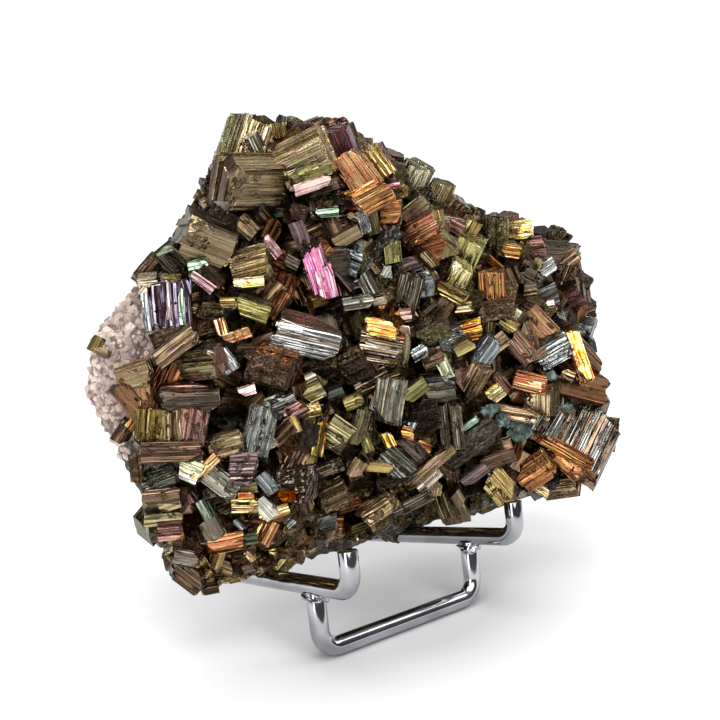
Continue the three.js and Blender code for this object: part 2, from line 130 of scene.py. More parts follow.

# %% [markdown]
# The stone's outline is a ring of given points. How far the face falls back towards the rim, and
# how thick the stone is, follow from simple rules, so the crystals and the massive pyrite agree.

# %% The shape of the stone
MIDDLE = (8, 36)
RIM_FALL = 9
CRYSTAL_SKIN = 5
RIM_SKIN = 4.5
BACK = 46

OUTLINE = [
    (-33, -1), (-39, 10), (-43, 20), (-44, 31), (-43, 41), (-38, 47), (-32, 53), (-24, 60), (-20, 68),
    (-17, 77), (-13, 80), (5, 80), (14, 74), (25, 68), (36, 60), (56, 55), (62, 44), (63, 33),
    (66, 22), (64, 10), (59, 4), (44, 0), (27, 1), (9, -0.5), (-12, 0), (-24, -0.5),
]
CRUST_OUTLINE = [
    (-37, 20), (-41, 29), (-42, 41), (-38, 47), (-30, 52), (-19, 58), (-5, 60), (8, 55), (13, 42),
    (9, 26), (-4, 15), (-20, 11), (-31, 14),
]
CRUST_MIDDLE = (-17, 35)


def outline_radius(outline, centre):
    """Distance from a centre to a closed outline, as a function of the angle."""
    rays = sorted((math.atan2(u - centre[1], a - centre[0]), math.hypot(a - centre[0], u - centre[1]))
                  for a, u in outline)
    angles = [r[0] for r in rays]
    angles = [angles[-1] - 2 * math.pi] + angles + [angles[0] + 2 * math.pi]
    radii = [rays[-1][1]] + [r[1] for r in rays] + [rays[0][1]]
    return lambda angle: float(np.interp(angle, angles, radii))


stone_radius = outline_radius(OUTLINE, MIDDLE)
crust_radius = outline_radius(CRUST_OUTLINE, CRUST_MIDDLE)


def ease(t):
    """From 0 to 1 with a gentle start and end."""
    t = min(max(t, 0.0), 1.0)
    return t * t * (3 - 2 * t)


def rim_share(a, u):
    """0 in the middle of the face and 1 on the stone's outline."""
    x, y = a - MIDDLE[0], u - MIDDLE[1]
    return math.hypot(x, y) / stone_radius(math.atan2(y, x))


def front_depth(a, u):
    """How deep the face lies. It is nearly flat in the middle and falls back towards the rim."""
    return RIM_FALL * min(rim_share(a, u), 1.1) ** 4


def back_depth(a):
    """How deep the back lies. The stone thins to the right, and a little to the left."""
    return BACK - 20 * ease((a - 12) / 48) - 5 * ease((-a - 5) / 35)


def out_of_front(a, u):
    """The way out of the stone's face, across, up and deep."""
    fall_a = (front_depth(a + 1, u) - front_depth(a - 1, u)) / 2
    fall_u = (front_depth(a, u + 1) - front_depth(a, u - 1)) / 2
    return Vector((fall_a * 0.6, fall_u * 0.6, -1)).normalized()


print("stone is", round(stone_radius(0) + stone_radius(math.pi)), "mm wide through its middle")

# %% [markdown]
# Names for the thin films on the crystals. Each one is a main colour and the colour of the streaks
# that run along the striations. They are reflection colours of a metal, so they look darker or
# brighter with whatever the face mirrors. Pale and sunlit also carry painted light.

# %% Film colours
FILMS = {
    "bronze": ((0.17, 0.13, 0.088), (0.40, 0.325, 0.225)),
    "olive": ((0.13, 0.115, 0.07), (0.32, 0.30, 0.18)),
    "brown": ((0.11, 0.082, 0.061), (0.26, 0.19, 0.135)),
    "dark": ((0.05, 0.04, 0.032), (0.12, 0.10, 0.08)),
    "plum": ((0.10, 0.065, 0.06), (0.30, 0.16, 0.20)),
    "mauve": ((0.15, 0.115, 0.11), (0.29, 0.225, 0.23)),
    "copper": ((0.24, 0.13, 0.08), (0.62, 0.36, 0.20)),
    "orange": ((0.52, 0.27, 0.12), (0.95, 0.66, 0.38)),
    "fire": ((0.64, 0.25, 0.08), (1.0, 0.66, 0.36)),
    "gold": ((0.34, 0.25, 0.12), (0.78, 0.62, 0.35)),
    "bright": ((0.80, 0.66, 0.32), (1.0, 0.95, 0.72)),
    "brass": ((0.26, 0.20, 0.10), (0.60, 0.50, 0.27)),
    "lime": ((0.24, 0.23, 0.11), (0.58, 0.58, 0.30)),
    "mint": ((0.34, 0.46, 0.34), (0.70, 0.88, 0.70)),
    "green": ((0.12, 0.135, 0.105), (0.28, 0.34, 0.27)),
    "teal": ((0.24, 0.27, 0.27), (0.80, 0.98, 1.0)),
    "slate": ((0.11, 0.12, 0.12), (0.32, 0.36, 0.38)),
    "silver": ((0.30, 0.31, 0.30), (0.86, 0.92, 0.94)),
    "grey": ((0.13, 0.12, 0.10), (0.30, 0.28, 0.24)),
    "violet": ((0.22, 0.15, 0.22), (0.72, 0.56, 0.85)),
    "magenta": ((0.72, 0.25, 0.40), (1.0, 0.72, 0.90)),
    "pink": ((0.40, 0.24, 0.22), (0.95, 0.68, 0.70)),
    "rose": ((0.20, 0.13, 0.11), (0.48, 0.32, 0.29)),
    "tan": ((0.22, 0.17, 0.115), (0.42, 0.35, 0.24)),
    # pale is a paler tan, used partly as painted light on crown faces that their neighbours shade.
    "pale": ((0.33, 0.27, 0.18), (0.66, 0.57, 0.40)),
    # sunlit is a painted highlight for the crown's faces that look up.
    "sunlit": ((0.62, 0.51, 0.34), (0.98, 0.84, 0.60)),
    "cream": ((0.50, 0.44, 0.35), (0.80, 0.73, 0.60)),
    "celadon": ((0.40, 0.42, 0.28), (0.88, 0.92, 0.70)),
    "steel": ((0.19, 0.19, 0.16), (0.52, 0.53, 0.47)),
    "iron": ((0.09, 0.09, 0.08), (0.38, 0.40, 0.37)),
    "ink": ((0.05, 0.04, 0.03), (0.80, 0.72, 0.58)),
    "banded": ((0.20, 0.15, 0.105), (0.34, 0.38, 0.37)),
    "iris": ((0.09, 0.06, 0.075), (0.80, 0.74, 1.0)),
    "ember": ((0.20, 0.06, 0.025), (0.45, 0.16, 0.06)),
    "rust": ((0.17, 0.105, 0.07), (0.27, 0.175, 0.115)),
    "peach": ((0.50, 0.26, 0.16), (0.90, 0.58, 0.40)),
}
GLOSSY = {"fire", "bright", "mint", "teal", "silver", "violet", "magenta", "pink", "orange", "gold", "banded"}
print(len(FILMS), "film colours")

# %% [markdown]
# The crystals that the eye picks out are listed. Each row gives: across, up, length, width
# and depth in millimetres, then the turn of the long axis in the face, its tilt out of the face and
# the roll about it, the number of sides, the films on the front, upper side, lower side and end,
# and how far the crystal stands proud of its neighbours.

# %% The crystals that stand out
CRYSTALS = [
    (-16.4, 66, 9.6, 10.5, 9, 3, -28, 42, 6, "tan sunlit brown brown", 1.5),
    (-13.6, 73.6, 9, 10, 8, 62, 12, 18, 6, "sunlit celadon bronze tan", -2),
    (-14.5, 73, 2.5, 2.5, 2.5, -60, -40, 35, 6, "steel grey grey silver", 1),
    (-5.6, 69.5, 9, 9, 8.5, 12, 42, 34, 6, "pale sunlit rose sunlit", 1.5),
    (-7.5, 66.2, 7, 2.5, 3, 12, 20, 20, 4, "lime mint rose gold", 2),
    (-7.2, 64.3, 6.5, 2, 3, 12, 20, 20, 4, "pink copper rose gold", 1.5),
    (-3, 65.5, 6.5, 4, 4, 5, 45, 15, 4, "brown dark dark dark", -1.5),
    (2, 72.5, 6, 4.5, 4.5, -55, -25, 60, 4, "plum plum brown rose", 0.5),
    (1, 78.5, 4, 3.5, 3.5, -15, 45, 45, 6, "brown olive dark brown", -2),
    (-8.5, 75.5, 2.5, 2.5, 2.5, -80, -30, 30, 4, "brass olive olive olive", -1),
    (4.5, 77.5, 4.5, 3, 3, -15, 50, 65, 5, "rose brown brown rose", -1),
    (7.5, 75, 4.5, 2.5, 2.5, -65, -20, 55, 5, "tan brown dark tan", -1.5),
    (4, 62.2, 7.5, 4.5, 6, 22, 12, 22, 4, "copper orange bronze pink", 1.5),
    (3.5, 66.5, 7.5, 5.5, 6, -60, 0, 22, 4, "peach gold copper pink", 1),
    (9, 68.5, 6, 4.5, 4.5, -65, 5, 50, 5, "gold orange pink tan", 0.5),
    (2.5, 67, 4.5, 3.5, 3.5, -80, -30, 20, 4, "gold pink copper gold", 0),
    (12, 70.5, 4.5, 3, 3, -40, -20, 75, 4, "brown plum brown pink", -0.5),
    (11.5, 64.5, 2, 1.5, 1.5, -10, 45, 25, 6, "pink pink pink pink", 0),
    (-6, 68, 3, 2, 2, 0, 50, 20, 4, "rose tan brown olive", 1.5),
    (20.5, 67.5, 5, 6, 6, 85, 60, -45, 6, "celadon celadon grey olive", 0),
    (25.5, 64, 4.5, 4.5, 4.5, 90, 60, -30, 5, "pale celadon olive olive", 0),
    (28.5, 61, 4, 4.5, 4.5, 65, 65, -50, 6, "tan pale brown grey", -0.5),
    (32.5, 60, 3, 2.5, 2.5, 90, 40, -55, 4, "tan olive brown olive", -1),
    (25, 56.5, 2.5, 2, 2, -45, 25, 55, 4, "rose rose brown pink", 0),
    (29.5, 56.5, 2.5, 2.5, 2.5, 70, 45, -35, 4, "brass tan brown olive", 0),
    (15.5, 56.5, 7.5, 4, 4, 25, 65, 10, 4, "peach rose copper olive", 0.5),
    (18.5, 53, 6.5, 5, 5, 0, 65, 15, 4, "peach pink rose olive", 0),
    (27.5, 52.5, 4.5, 5, 5, 80, 50, -40, 4, "lime lime olive lime", 0),
    (22, 47, 4.2, 3.6, 3.6, -100, -50, 25, 4, "bright bright gold bright", 0.5),
    (36, 55, 7.5, 5.5, 5.5, -75, -40, 75, 5, "olive brass grey olive", 0),
    (44, 55.8, 5.5, 4.5, 4.5, -35, 50, 50, 6, "gold bright tan bright", -0.5),
    (37.5, 51.5, 3, 2, 2, -30, 35, 55, 4, "orange gold copper gold", 0),
    (45, 52.5, 4, 4, 4, -20, 45, 15, 5, "rose gold brown tan", 0),
    (64, 52.5, 7, 5, 5, -40, 60, 50, 5, "grey olive dark olive", 0),
    (60.5, 47.5, 4.5, 3, 3, -80, -10, 80, 4, "brown rose dark brown", -0.5),
    (62.5, 42.5, 7, 2, 2, -85, -5, 85, 4, "rose copper olive rose", -1),
    (47.5, 48, 3, 2.5, 2.5, 35, 50, -10, 5, "silver grey dark silver", 0),
    (42, 45.5, 3.5, 4, 4, -60, 35, 65, 5, "dark brown dark dark", -0.5),
    (37, 46.5, 3.5, 2.5, 2.5, -75, 5, 45, 4, "brown dark dark dark", -1),
    (40, 43.5, 2.5, 2.5, 2.5, -5, 55, 30, 6, "tan grey brown brown", 0),
    (55, 42, 6, 6, 6, 45, 70, -15, 6, "plum brown dark brown", 0),
    (44, 40.5, 1.5, 1.5, 1.5, 0, 50, 5, 6, "pink pink pink pink", 1),
    (30.5, 45, 5, 4, 4, -85, -15, 50, 4, "copper rose dark brown", 0),
    (19, 44, 5, 2, 2, -40, 25, 40, 4, "brass olive dark olive", 0.5),
    (10.5, 45, 5.5, 4.5, 4.5, 80, 25, -20, 6, "grey olive grey olive", 0.5),
    (14.5, 46, 3, 4, 4, 0, 35, 10, 4, "slate slate dark grey", 0),
    (11, 49.5, 3.5, 2.5, 2.5, 15, 35, 10, 5, "mauve rose brown brown", 0),
    (16, 50, 3.5, 3.5, 3.5, -60, 15, 20, 5, "tan brown dark brown", 0),
    (9, 40.5, 2, 2, 2, 0, 45, 5, 4, "rose orange rose tan", 0),
    (30, 40.5, 6.5, 3.5, 3.5, 5, 40, 20, 4, "brown brown dark brown", 0),
    (33.5, 39.5, 2.5, 1.5, 1.5, -50, 25, 35, 4, "celadon bright tan tan", 0.5),
    (42, 36.5, 5.5, 4, 4, -70, 30, 45, 4, "rust rose brown tan", 0),
    (37, 34.5, 5, 2, 2, -80, 5, 55, 4, "tan brass dark tan", 0.5),
    (-24.4, 56.5, 9, 6.8, 7, -30, -12, 46, 4, "tan brown dark olive", 1.0),
    (-18.5, 51, 6.2, 6.5, 7, 0, 35, 10, 5, "tan brass tan olive", 0.5),
    (-21, 48, 4.5, 1.5, 1.5, -5, 20, 5, 4, "bright bright pink gold", 1),
    (-8.3, 50, 8.5, 2.8, 4, -68, -22, 44, 4, "magenta pink dark dark", 0.8),
    (-6.6, 47.6, 5, 2.8, 4, -72, -20, 30, 4, "magenta violet dark dark", 0.5),
    (-10, 55, 6, 2.5, 2.5, -75, 0, 25, 4, "mauve green dark grey", 0),
    (-15.5, 54, 3.5, 1.5, 1.5, -60, 0, 25, 4, "pink pink rose rose", 0.5),
    (-18, 58, 3.5, 2.5, 2.5, -55, 5, 25, 4, "tan rose brown brown", 0),
    (-4.5, 59.5, 3.5, 1.5, 1.5, -5, 30, 15, 6, "mint mint green green", 0),
    (-9, 60, 2.5, 2.5, 2.5, -30, 25, 40, 5, "brown dark dark dark", -0.5),
    (-1.5, 55, 4.5, 2, 2, 25, 35, 10, 4, "tan bronze dark dark", 0),
    (1.5, 51, 3.5, 5, 5, -45, 40, 30, 4, "slate slate dark olive", -0.5),
    (9.5, 59.5, 3.5, 3.5, 3.5, -10, 40, 20, 4, "copper copper rose brown", 0),
    (2.5, 57.5, 3.5, 1.5, 1.5, -75, -5, 35, 4, "silver violet grey grey", 0),
    (4.5, 58, 4.5, 2, 2, -80, -10, 35, 4, "olive grey dark dark", 0),
    (8, 52, 3, 2.5, 2.5, -85, -10, 35, 4, "lime bright olive olive", 0),
    (1, 58.5, 2, 2, 2, -40, 20, 30, 6, "tan dark brown brown", -0.5),
    (-11.5, 51, 2.5, 2.5, 2.5, -40, 15, 45, 5, "grey dark dark dark", -1),
    (-3, 51.5, 4.5, 4.5, 4.5, 0, 30, 20, 4, "dark dark dark dark", -2),
    (1.5, 46.5, 3.5, 2, 2, -70, 5, 45, 4, "steel slate slate slate", 0),
    (-0.5, 43.5, 4.5, 2.2, 2.5, 0, 30, 5, 4, "steel silver dark dark", -0.5),
    (3.5, 43.5, 2, 2, 2, 5, 35, 15, 6, "cream rose rose rose", 0),
    (-34, 52.5, 4.5, 3, 3, 25, 30, 35, 5, "brown bronze brown brown", -1),
    (-30.5, 54, 4, 4.5, 4.5, -50, -25, 25, 6, "grey olive dark green", 0),
    (-32, 49.5, 2.5, 2.5, 2.5, -15, 5, 25, 4, "brass lime olive olive", 0),
    (-27.5, 52, 3, 2, 2, 0, 10, 15, 6, "mint green green green", 0),
    (-28, 49, 4, 1.5, 1.5, -45, -5, 25, 4, "pink copper rose rose", 0.5),
    (-26, 50, 4, 2, 2, -50, -5, 40, 4, "dark brown dark dark", -0.5),
    (-32.4, 46, 7, 6.5, 7, -95, -25, 10, 4, "iris plum dark iris", 0),
    (-36.9, 45, 5.5, 1.4, 2, -95, -20, 5, 4, "silver violet dark violet", 0.6),
    (-31.8, 45.5, 6, 0.9, 3, -95, -25, 15, 4, "mint silver dark mint", 0.6),
    (-33.4, 46.5, 6, 1, 3, -95, -25, 15, 4, "pink magenta dark pink", 0.6),
    (-26.5, 41, 3, 1.5, 1.5, -80, -5, 30, 4, "orange bronze brown brown", 0),
    (-27, 44, 3, 2.5, 2.5, -15, 10, 30, 5, "olive tan brown brown", 0),
    (-24.5, 39.5, 4, 1.5, 1.5, 10, 20, 5, 4, "peach orange copper copper", 0.5),
    (-20.5, 44, 5, 2.5, 2.5, -30, 15, 40, 4, "lime olive dark dark", 0),
    (-24.5, 45, 2.5, 1.5, 1.5, -10, 15, 25, 4, "gold brass olive olive", 0),
    (-16, 44, 4.5, 2, 2, 55, 25, -35, 4, "copper rose brown brown", -0.5),
    (-40, 35, 5, 3.5, 3.5, 10, 15, 15, 4, "tan gold brass dark", 0),
    (-41.5, 31.5, 6, 3, 3, -60, 0, 0, 4, "rust brown brown grey", -0.5),
    (-39, 31, 3.5, 3, 3, -90, 0, 15, 4, "rust grey dark dark", -0.5),
    (-34, 38.5, 7, 3, 3, 30, 10, -10, 4, "bronze rose dark grey", 0),
    (-33.5, 40.5, 5.5, 3.5, 3.5, 10, 15, 25, 5, "brown dark brown dark", -1),
    (-30.5, 36, 7, 4.5, 4.5, -5, 50, 25, 4, "olive grey dark rose", 0.5),
    (-33, 30.5, 8.5, 3.5, 3.5, -5, 10, 35, 4, "dark rose dark brown", 0.5),
    (-26.5, 35.5, 3.5, 2.5, 2.5, -60, 5, 15, 4, "silver slate dark dark", 0),
    (-18, 33.5, 7, 7, 7, -25, 40, 30, 6, "brown copper dark brown", 0),
    (-24, 30.5, 2.5, 1.5, 1.5, 10, 20, -5, 4, "pink copper brown brown", 0),
    (-12.5, 38.5, 10.5, 5, 5, -20, 15, 45, 4, "teal brown dark olive", 1.5),
    (-2, 32.5, 4.5, 6.5, 6.5, 25, 50, 5, 6, "dark tan brown brown", 0),
    (2.8, 35.4, 7, 5, 5.5, -20, 30, 30, 4, "ink orange dark cream", 1),
    (2, 38, 5, 3, 3, -20, 30, -5, 4, "orange bright copper cream", 1.6),
    (6.4, 35.2, 6, 2.4, 4, -80, -35, 35, 5, "pale tan cream cream", 1.6),
    (2.5, 26, 7.5, 5, 5, -100, -15, 25, 4, "steel grey brass brown", 0.5),
    (8.5, 27, 4.5, 2.5, 2.5, 35, 30, -10, 4, "lime olive dark dark", 0),
    (14, 27, 5, 3.5, 3.5, 0, 40, 25, 4, "grey slate dark grey", 0),
    (10.5, 33.5, 2.5, 2, 2, 30, 35, -15, 4, "silver silver grey grey", 0),
    (14, 32.5, 3.5, 4, 4, 20, 35, 5, 5, "brown tan dark brown", 0),
    (15.5, 30.5, 4, 2, 2, -75, 10, 35, 4, "celadon cream olive olive", 0),
    (14, 37, 6, 3, 3, 25, 45, 0, 4, "olive brown dark olive", 0),
    (17.5, 41, 3.5, 3, 3, 60, 25, -10, 5, "brown dark dark brown", -0.5),
    (14.5, 41.5, 2.5, 2.5, 2.5, 45, 40, 0, 6, "brown olive dark brown", 0),
    (22, 41, 3, 2, 2, -5, 50, 25, 6, "tan brass brown tan", 0),
    (24, 37, 3.2, 3.6, 3.6, 5, 40, 15, 5, "fire copper copper orange", -0.5),
    (25.5, 32.5, 5, 3, 3, 55, 25, -10, 4, "slate violet dark slate", 0.5),
    (21, 34, 3, 3, 3, 25, 35, 10, 6, "brass tan brown dark", 0),
    (22.5, 27.5, 6, 4.5, 4.5, 70, 35, -15, 5, "tan brown brown tan", 0),
    (26.5, 24.5, 3, 2.5, 2.5, 40, 35, -25, 4, "bright gold brass bright", 0.5),
    (-17, 28.5, 1.5, 1.5, 1.5, 20, 25, -10, 6, "silver violet silver silver", 0.5),
    (-12.5, 31.5, 1.5, 1.5, 1.5, 20, 25, -10, 6, "cream mauve mauve mauve", 0),
    (-8, 28.5, 2.5, 2, 2, 15, 30, 10, 6, "slate slate dark slate", 0),
    (-11.5, 29.5, 3.5, 3, 3, 20, 30, 0, 4, "olive dark dark olive", -1),
    (-4.5, 26.5, 3, 2, 2, 15, 30, 0, 4, "brass tan dark olive", 0),
    (-15.5, 26, 3.5, 3, 3, 25, 25, 5, 5, "rose brown brown tan", 0),
    (-13, 26, 2.5, 2, 2, 5, 30, -5, 6, "gold bright brass gold", 0.5),
    (-14, 21.5, 4.5, 2.5, 2.5, 70, 5, -25, 4, "dark dark dark brown", 0),
    (-12.5, 21, 5, 2, 2, 75, 5, -25, 4, "orange orange copper orange", 0.5),
    (-8, 21, 4, 4.5, 4.5, -50, 35, 20, 4, "olive grey dark tan", 0.5),
    (-4.5, 22, 6, 2.5, 2.5, 70, 10, -20, 4, "olive brown rose olive", 0),
    (-3, 19, 3, 1.5, 1.5, -80, 10, 30, 4, "lime bright olive olive", 0),
    (1.5, 19, 2.5, 2, 2, -75, 15, 30, 5, "orange cream copper brown", 0),
    (6, 19.5, 2, 2, 2, -20, 35, 5, 5, "orange bright copper brown", 0),
    (9, 16.5, 2.5, 2.5, 2.5, -40, 30, 25, 5, "copper rose brown brown", 0),
    (11, 22.5, 5, 4.5, 4.5, 5, 35, 10, 5, "dark brown dark dark", -1),
    (16, 19.5, 7.5, 4, 4, -90, 0, 40, 4, "grey grey dark olive", 0),
    (20, 19.5, 3, 1.5, 1.5, 35, 30, -25, 6, "mint silver green green", 0),
    (22.5, 17.5, 1.5, 1.5, 1.5, 20, 35, -20, 6, "bright gold gold bright", 0.5),
    (35, 32.5, 6, 3.5, 3.5, -65, 20, 50, 4, "brown tan dark brown", 0),
    (32.5, 37, 3, 2, 2, -50, 30, 45, 4, "brass gold olive tan", 0),
    (44.5, 31, 6.5, 5, 5, 30, 45, -20, 4, "silver steel dark dark", 0.5),
    (39.5, 31, 3, 2.5, 2.5, 35, 40, -10, 6, "tan cream brown tan", 0),
    (58.5, 35, 4.5, 6, 6, -50, 65, 55, 5, "slate silver dark slate", 0),
    (59, 31.5, 3, 2.5, 2.5, -85, -5, 60, 5, "slate silver dark slate", 0),
    (48.4, 28.9, 9.5, 2.6, 4, -95, 15, 40, 4, "fire bright bronze fire", 3),
    (50.6, 23.6, 10.5, 7.5, 8, -25, 35, 50, 5, "rust copper rust rust", 0.8),
    (54, 29, 8, 6, 6, -60, 20, -15, 4, "rust rust rust brown", -0.5),
    (46, 26, 2.5, 2, 2, -40, 40, 30, 5, "bright fire orange copper", 1),
    (35.5, 25.5, 6, 3.5, 3.5, -30, 45, 20, 4, "peach copper copper tan", 0.5),
    (40, 22, 5.5, 7, 7, -95, -5, 55, 4, "bronze tan brown brown", -0.5),
    (30.5, 20, 7.5, 2.5, 2.5, -20, 40, 10, 4, "tan brass copper tan", 0.5),
    (50.3, 12.6, 13, 13.5, 8.5, 45, 0, -55, 4, "banded copper banded copper", 1),
    (41, 18, 5.5, 6, 6, 60, 20, -40, 4, "banded grey brown brown", 0),
    (-38.5, 26.5, 5.5, 4.5, 4.5, -100, -8, 5, 4, "brass gold dark brown", 0),
    (-36, 26.5, 4.5, 3, 3, -95, -8, 10, 4, "tan gold dark brown", 0),
    (-32.5, 26, 5, 4, 4, -105, -8, 15, 4, "rose mauve dark brown", 0),
    (-37, 22.5, 9, 3, 3, -5, 5, 10, 4, "brown brown brown brown", 1),
    (-42.5, 26.5, 3.5, 2.5, 2.5, 50, 0, 10, 5, "brown tan brown brown", -0.5),
    (-41.5, 27.5, 2, 1.5, 1.5, 45, 0, 10, 5, "orange gold brown brown", 0),
    (-41.5, 20.5, 4, 2, 2, -90, 5, 0, 4, "brown grey dark brown", 0),
    (-38, 18.5, 4.5, 3.5, 3.5, 15, 10, 0, 5, "green violet olive mauve", 0),
    (-38.5, 15.5, 6, 2.5, 2.5, 0, 5, 10, 4, "brown rose dark tan", 0),
    (-37.5, 14, 3, 1.5, 1.5, 10, 0, -10, 4, "bronze copper brown brown", 0.5),
    (-38, 12, 5.5, 2, 2, 0, 5, -5, 4, "olive grey brown olive", 0),
    (-37, 10, 3.5, 3, 3, 0, 5, -15, 4, "rose copper brown orange", 0.5),
    (-39, 10, 2, 3.5, 3.5, -5, 0, 0, 5, "olive brown dark grey", -0.5),
    (-34.5, 2, 5, 3, 3, -40, 15, 5, 4, "brown plum dark grey", 0),
    (-35, 5, 3.5, 2, 2, -15, 10, -5, 4, "grey brown dark grey", 0),
    (-31.5, -0.5, 2.5, 2, 2, 15, 20, -30, 5, "brown tan dark brown", 0),
    (-33.5, 19, 3.5, 3.5, 3.5, -30, 15, 0, 4, "celadon green olive green", 0),
    (-32, 19, 4.5, 1.5, 1.5, 40, 5, -15, 4, "gold brass olive brass", 0.5),
    (-28, 22.5, 4.5, 3, 3, 10, 25, 5, 4, "tan olive brown tan", 0),
    (-29, 16, 5, 3, 3, -45, 15, 5, 4, "steel grey dark dark", 0),
    (-25.5, 18, 4, 5, 5, -5, 20, -5, 4, "mauve rose dark olive", 0.5),
    (-25.5, 15, 3, 1.5, 1.5, 0, 15, 5, 4, "olive green dark dark", 0),
    (-26.5, 12, 4, 2, 2, -5, 15, -15, 4, "gold bright gold gold", 1),
    (-26, 13.5, 2.5, 1.5, 1.5, -5, 15, 5, 4, "orange orange copper copper", 0.5),
    (-22.5, 11, 3.5, 2.5, 2.5, -55, 20, 10, 4, "steel grey dark grey", 0),
    (-21.5, 10, 4.5, 1.5, 1.5, 15, 20, -20, 4, "gold brass copper tan", 0.5),
    (-22.5, 7, 3.5, 3, 3, 55, -5, -25, 5, "orange gold copper tan", 0),
    (-22, 15, 3.5, 2, 2, -60, 15, 15, 4, "slate silver dark rose", 0),
    (-16.5, 14, 5, 5, 5, 5, 40, 0, 4, "ink dark dark mauve", 0.5),
    (-19.5, 12.5, 2.5, 1.5, 1.5, 0, 20, -10, 4, "ember ember ember ember", 1),
    (-22.5, 23.5, 8, 4.5, 4.5, 70, 5, -20, 4, "iron slate dark dark", 0),
    (-18.5, 23, 4, 2.5, 2.5, 40, 20, -15, 4, "brown tan dark brown", 0),
    (-21, 21.5, 1.5, 1.5, 1.5, 20, 20, -10, 4, "cream cream cream cream", 0.5),
    (-16.5, 24, 2.5, 1.5, 1.5, -75, 10, 25, 4, "brass olive brown brown", 0),
    (-32, 12.5, 3, 2, 2, -70, 15, 5, 5, "green celadon olive olive", 0),
    (-30.5, 14.5, 3, 2.5, 2.5, 10, 10, 10, 5, "dark grey dark dark", -0.5),
    (-34, 14.5, 1.5, 1.5, 1.5, -60, 15, 5, 5, "rose copper brown brown", 0),
    (-29.5, 6.5, 5, 2.5, 2.5, 5, 10, -15, 4, "copper pink copper copper", 0.5),
    (-31, 9, 3.5, 3, 3, -70, 15, 5, 4, "grey mauve brown brown", 0),
    (-30.5, 4, 3, 1.5, 1.5, 65, -10, -15, 5, "brass orange tan tan", 0),
    (-27, 9, 2, 1.5, 1.5, -50, 20, 5, 5, "slate silver dark dark", 0),
    (-26, 6.5, 3, 1.5, 1.5, 5, 15, -15, 4, "green lime olive olive", 0),
    (-18.5, 8, 1.5, 1.5, 1.5, 40, 10, -35, 5, "silver slate slate slate", 0),
    (-9, 11, 4, 4.5, 4.5, 30, 30, -20, 5, "tan olive brown tan", 0),
    (-10.5, 16, 4, 2, 2, 15, 30, -5, 4, "ink slate dark dark", 0),
    (-5.5, 15, 3, 2, 2, 55, 10, -20, 4, "tan rose brown brown", 0),
    (-1, 14.5, 4, 1.5, 1.5, -10, 35, -5, 4, "brass tan brown tan", 0.5),
    (3.5, 14.5, 5.5, 3.5, 3.5, -55, 30, 25, 4, "iron steel dark dark", 0),
    (7, 16, 5, 4, 4, -55, 30, 25, 4, "dark mauve dark dark", -0.5),
    (9.5, 13, 10, 2, 2, 40, 20, -30, 4, "tan brass brown tan", 0.5),
    (20, 16, 11, 4, 4, 35, 25, -20, 4, "grey olive dark dark", 0),
    (10, 11, 4.5, 2.5, 2.5, 45, 20, -35, 6, "cream cream cream cream", 0.5),
    (21, 10, 5, 2, 2, 40, 25, -25, 4, "mauve grey brown dark", 0),
    (28.5, 6.5, 6, 5, 5, -60, 40, 20, 4, "brass olive dark dark", 0),
    (-1, 7.5, 6, 3.5, 3.5, 40, 30, -25, 4, "tan rose brown tan", 0.5),
    (0, 5, 3, 2, 2, 30, 20, -35, 4, "brass tan brown brown", 0),
    (6.5, 7, 7.5, 2, 2, 30, 25, -25, 4, "grey tan dark dark", 0),
    (1, 11.5, 3.5, 2, 2, 15, 30, -10, 5, "dark slate dark dark", 0),
    (36.5, 9, 7, 5.5, 5.5, 45, 35, -25, 4, "copper pink copper brass", 0.5),
    (41.8, 11.8, 12, 2.5, 2.5, -45, 45, 20, 4, "copper rose copper copper", 1.5),
    (43.5, 9.4, 8, 3, 3, -60, 45, 30, 4, "copper steel brown brown", 1),
    (47, 6, 3, 2.5, 2.5, 45, 30, -35, 5, "orange brass copper brown", 0),
    (45.5, 4, 7.5, 5, 5, 30, 50, -30, 6, "bronze brown tan tan", 0),
    (38, 4.5, 3, 1.5, 1.5, -35, 50, 10, 4, "bright fire orange orange", 1),
    (27, 13, 5.5, 4.5, 4.5, 20, 35, -15, 5, "brown rose dark brown", 0),
    (62.5, 12.5, 6.5, 3, 3, 80, 10, -45, 5, "grey olive dark grey", 0),
    (58, 50, 6, 5, 6, 30, 40, 30, 5, "brown olive dark brown", -1),
    (61, 45, 6, 5, 6, -50, 30, 20, 4, "dark rose brown dark", -1.5),
    (56, 46, 5, 5, 6, 70, 30, 20, 6, "dark brown dark dark", -1),
    (60, 40, 6, 5, 6, 10, 30, 20, 4, "brown dark dark rose", -1.5),
    (60, 55, 5, 4, 5, 50, 50, 30, 5, "olive grey dark olive", -1),
    (-43.4, 41.2, 2.4, 1.8, 1.8, 50, 10, 10, 4, "brass cream cream brass", -5),
    (-42.8, 39.8, 2.2, 1.5, 1.5, -35, 10, 20, 5, "brown cream brown tan", -5),
    (-35, 50.5, 3, 2.2, 2.2, -20, 20, 20, 5, "cream cream tan cream", 0),
    (-36.6, 48, 2.4, 2, 2, 40, 10, 10, 6, "cream tan tan cream", 0),
    (52, 51, 5, 5, 6, -20, 40, 20, 4, "dark brown dark dark", -1),
]
print(len(CRYSTALS), "crystals by hand")

# %% [markdown]
# The measured solids use a small repeatable number generator for the crystals round the rim and on
# the back. The same generator here gives the same crystals, so the dressed stone keeps the outline
# that was measured. The numbers that the solids spent on their face are drawn first and not used.

# %% The rest of the crystals, by chance but repeatable
def chance_from(seed):
    state = seed & 0xFFFFFFFF

    def multiply(a, b):
        return (a * b) & 0xFFFFFFFF

    def chance():
        nonlocal state
        state = (state + 0x6D2B79F5) & 0xFFFFFFFF
        t = multiply(state ^ (state >> 15), 1 | state)
        t = ((t + multiply(t ^ (t >> 7), 61 | t)) & 0xFFFFFFFF) ^ t
        return ((t ^ (t >> 14)) & 0xFFFFFFFF) / 4294967296

    return chance


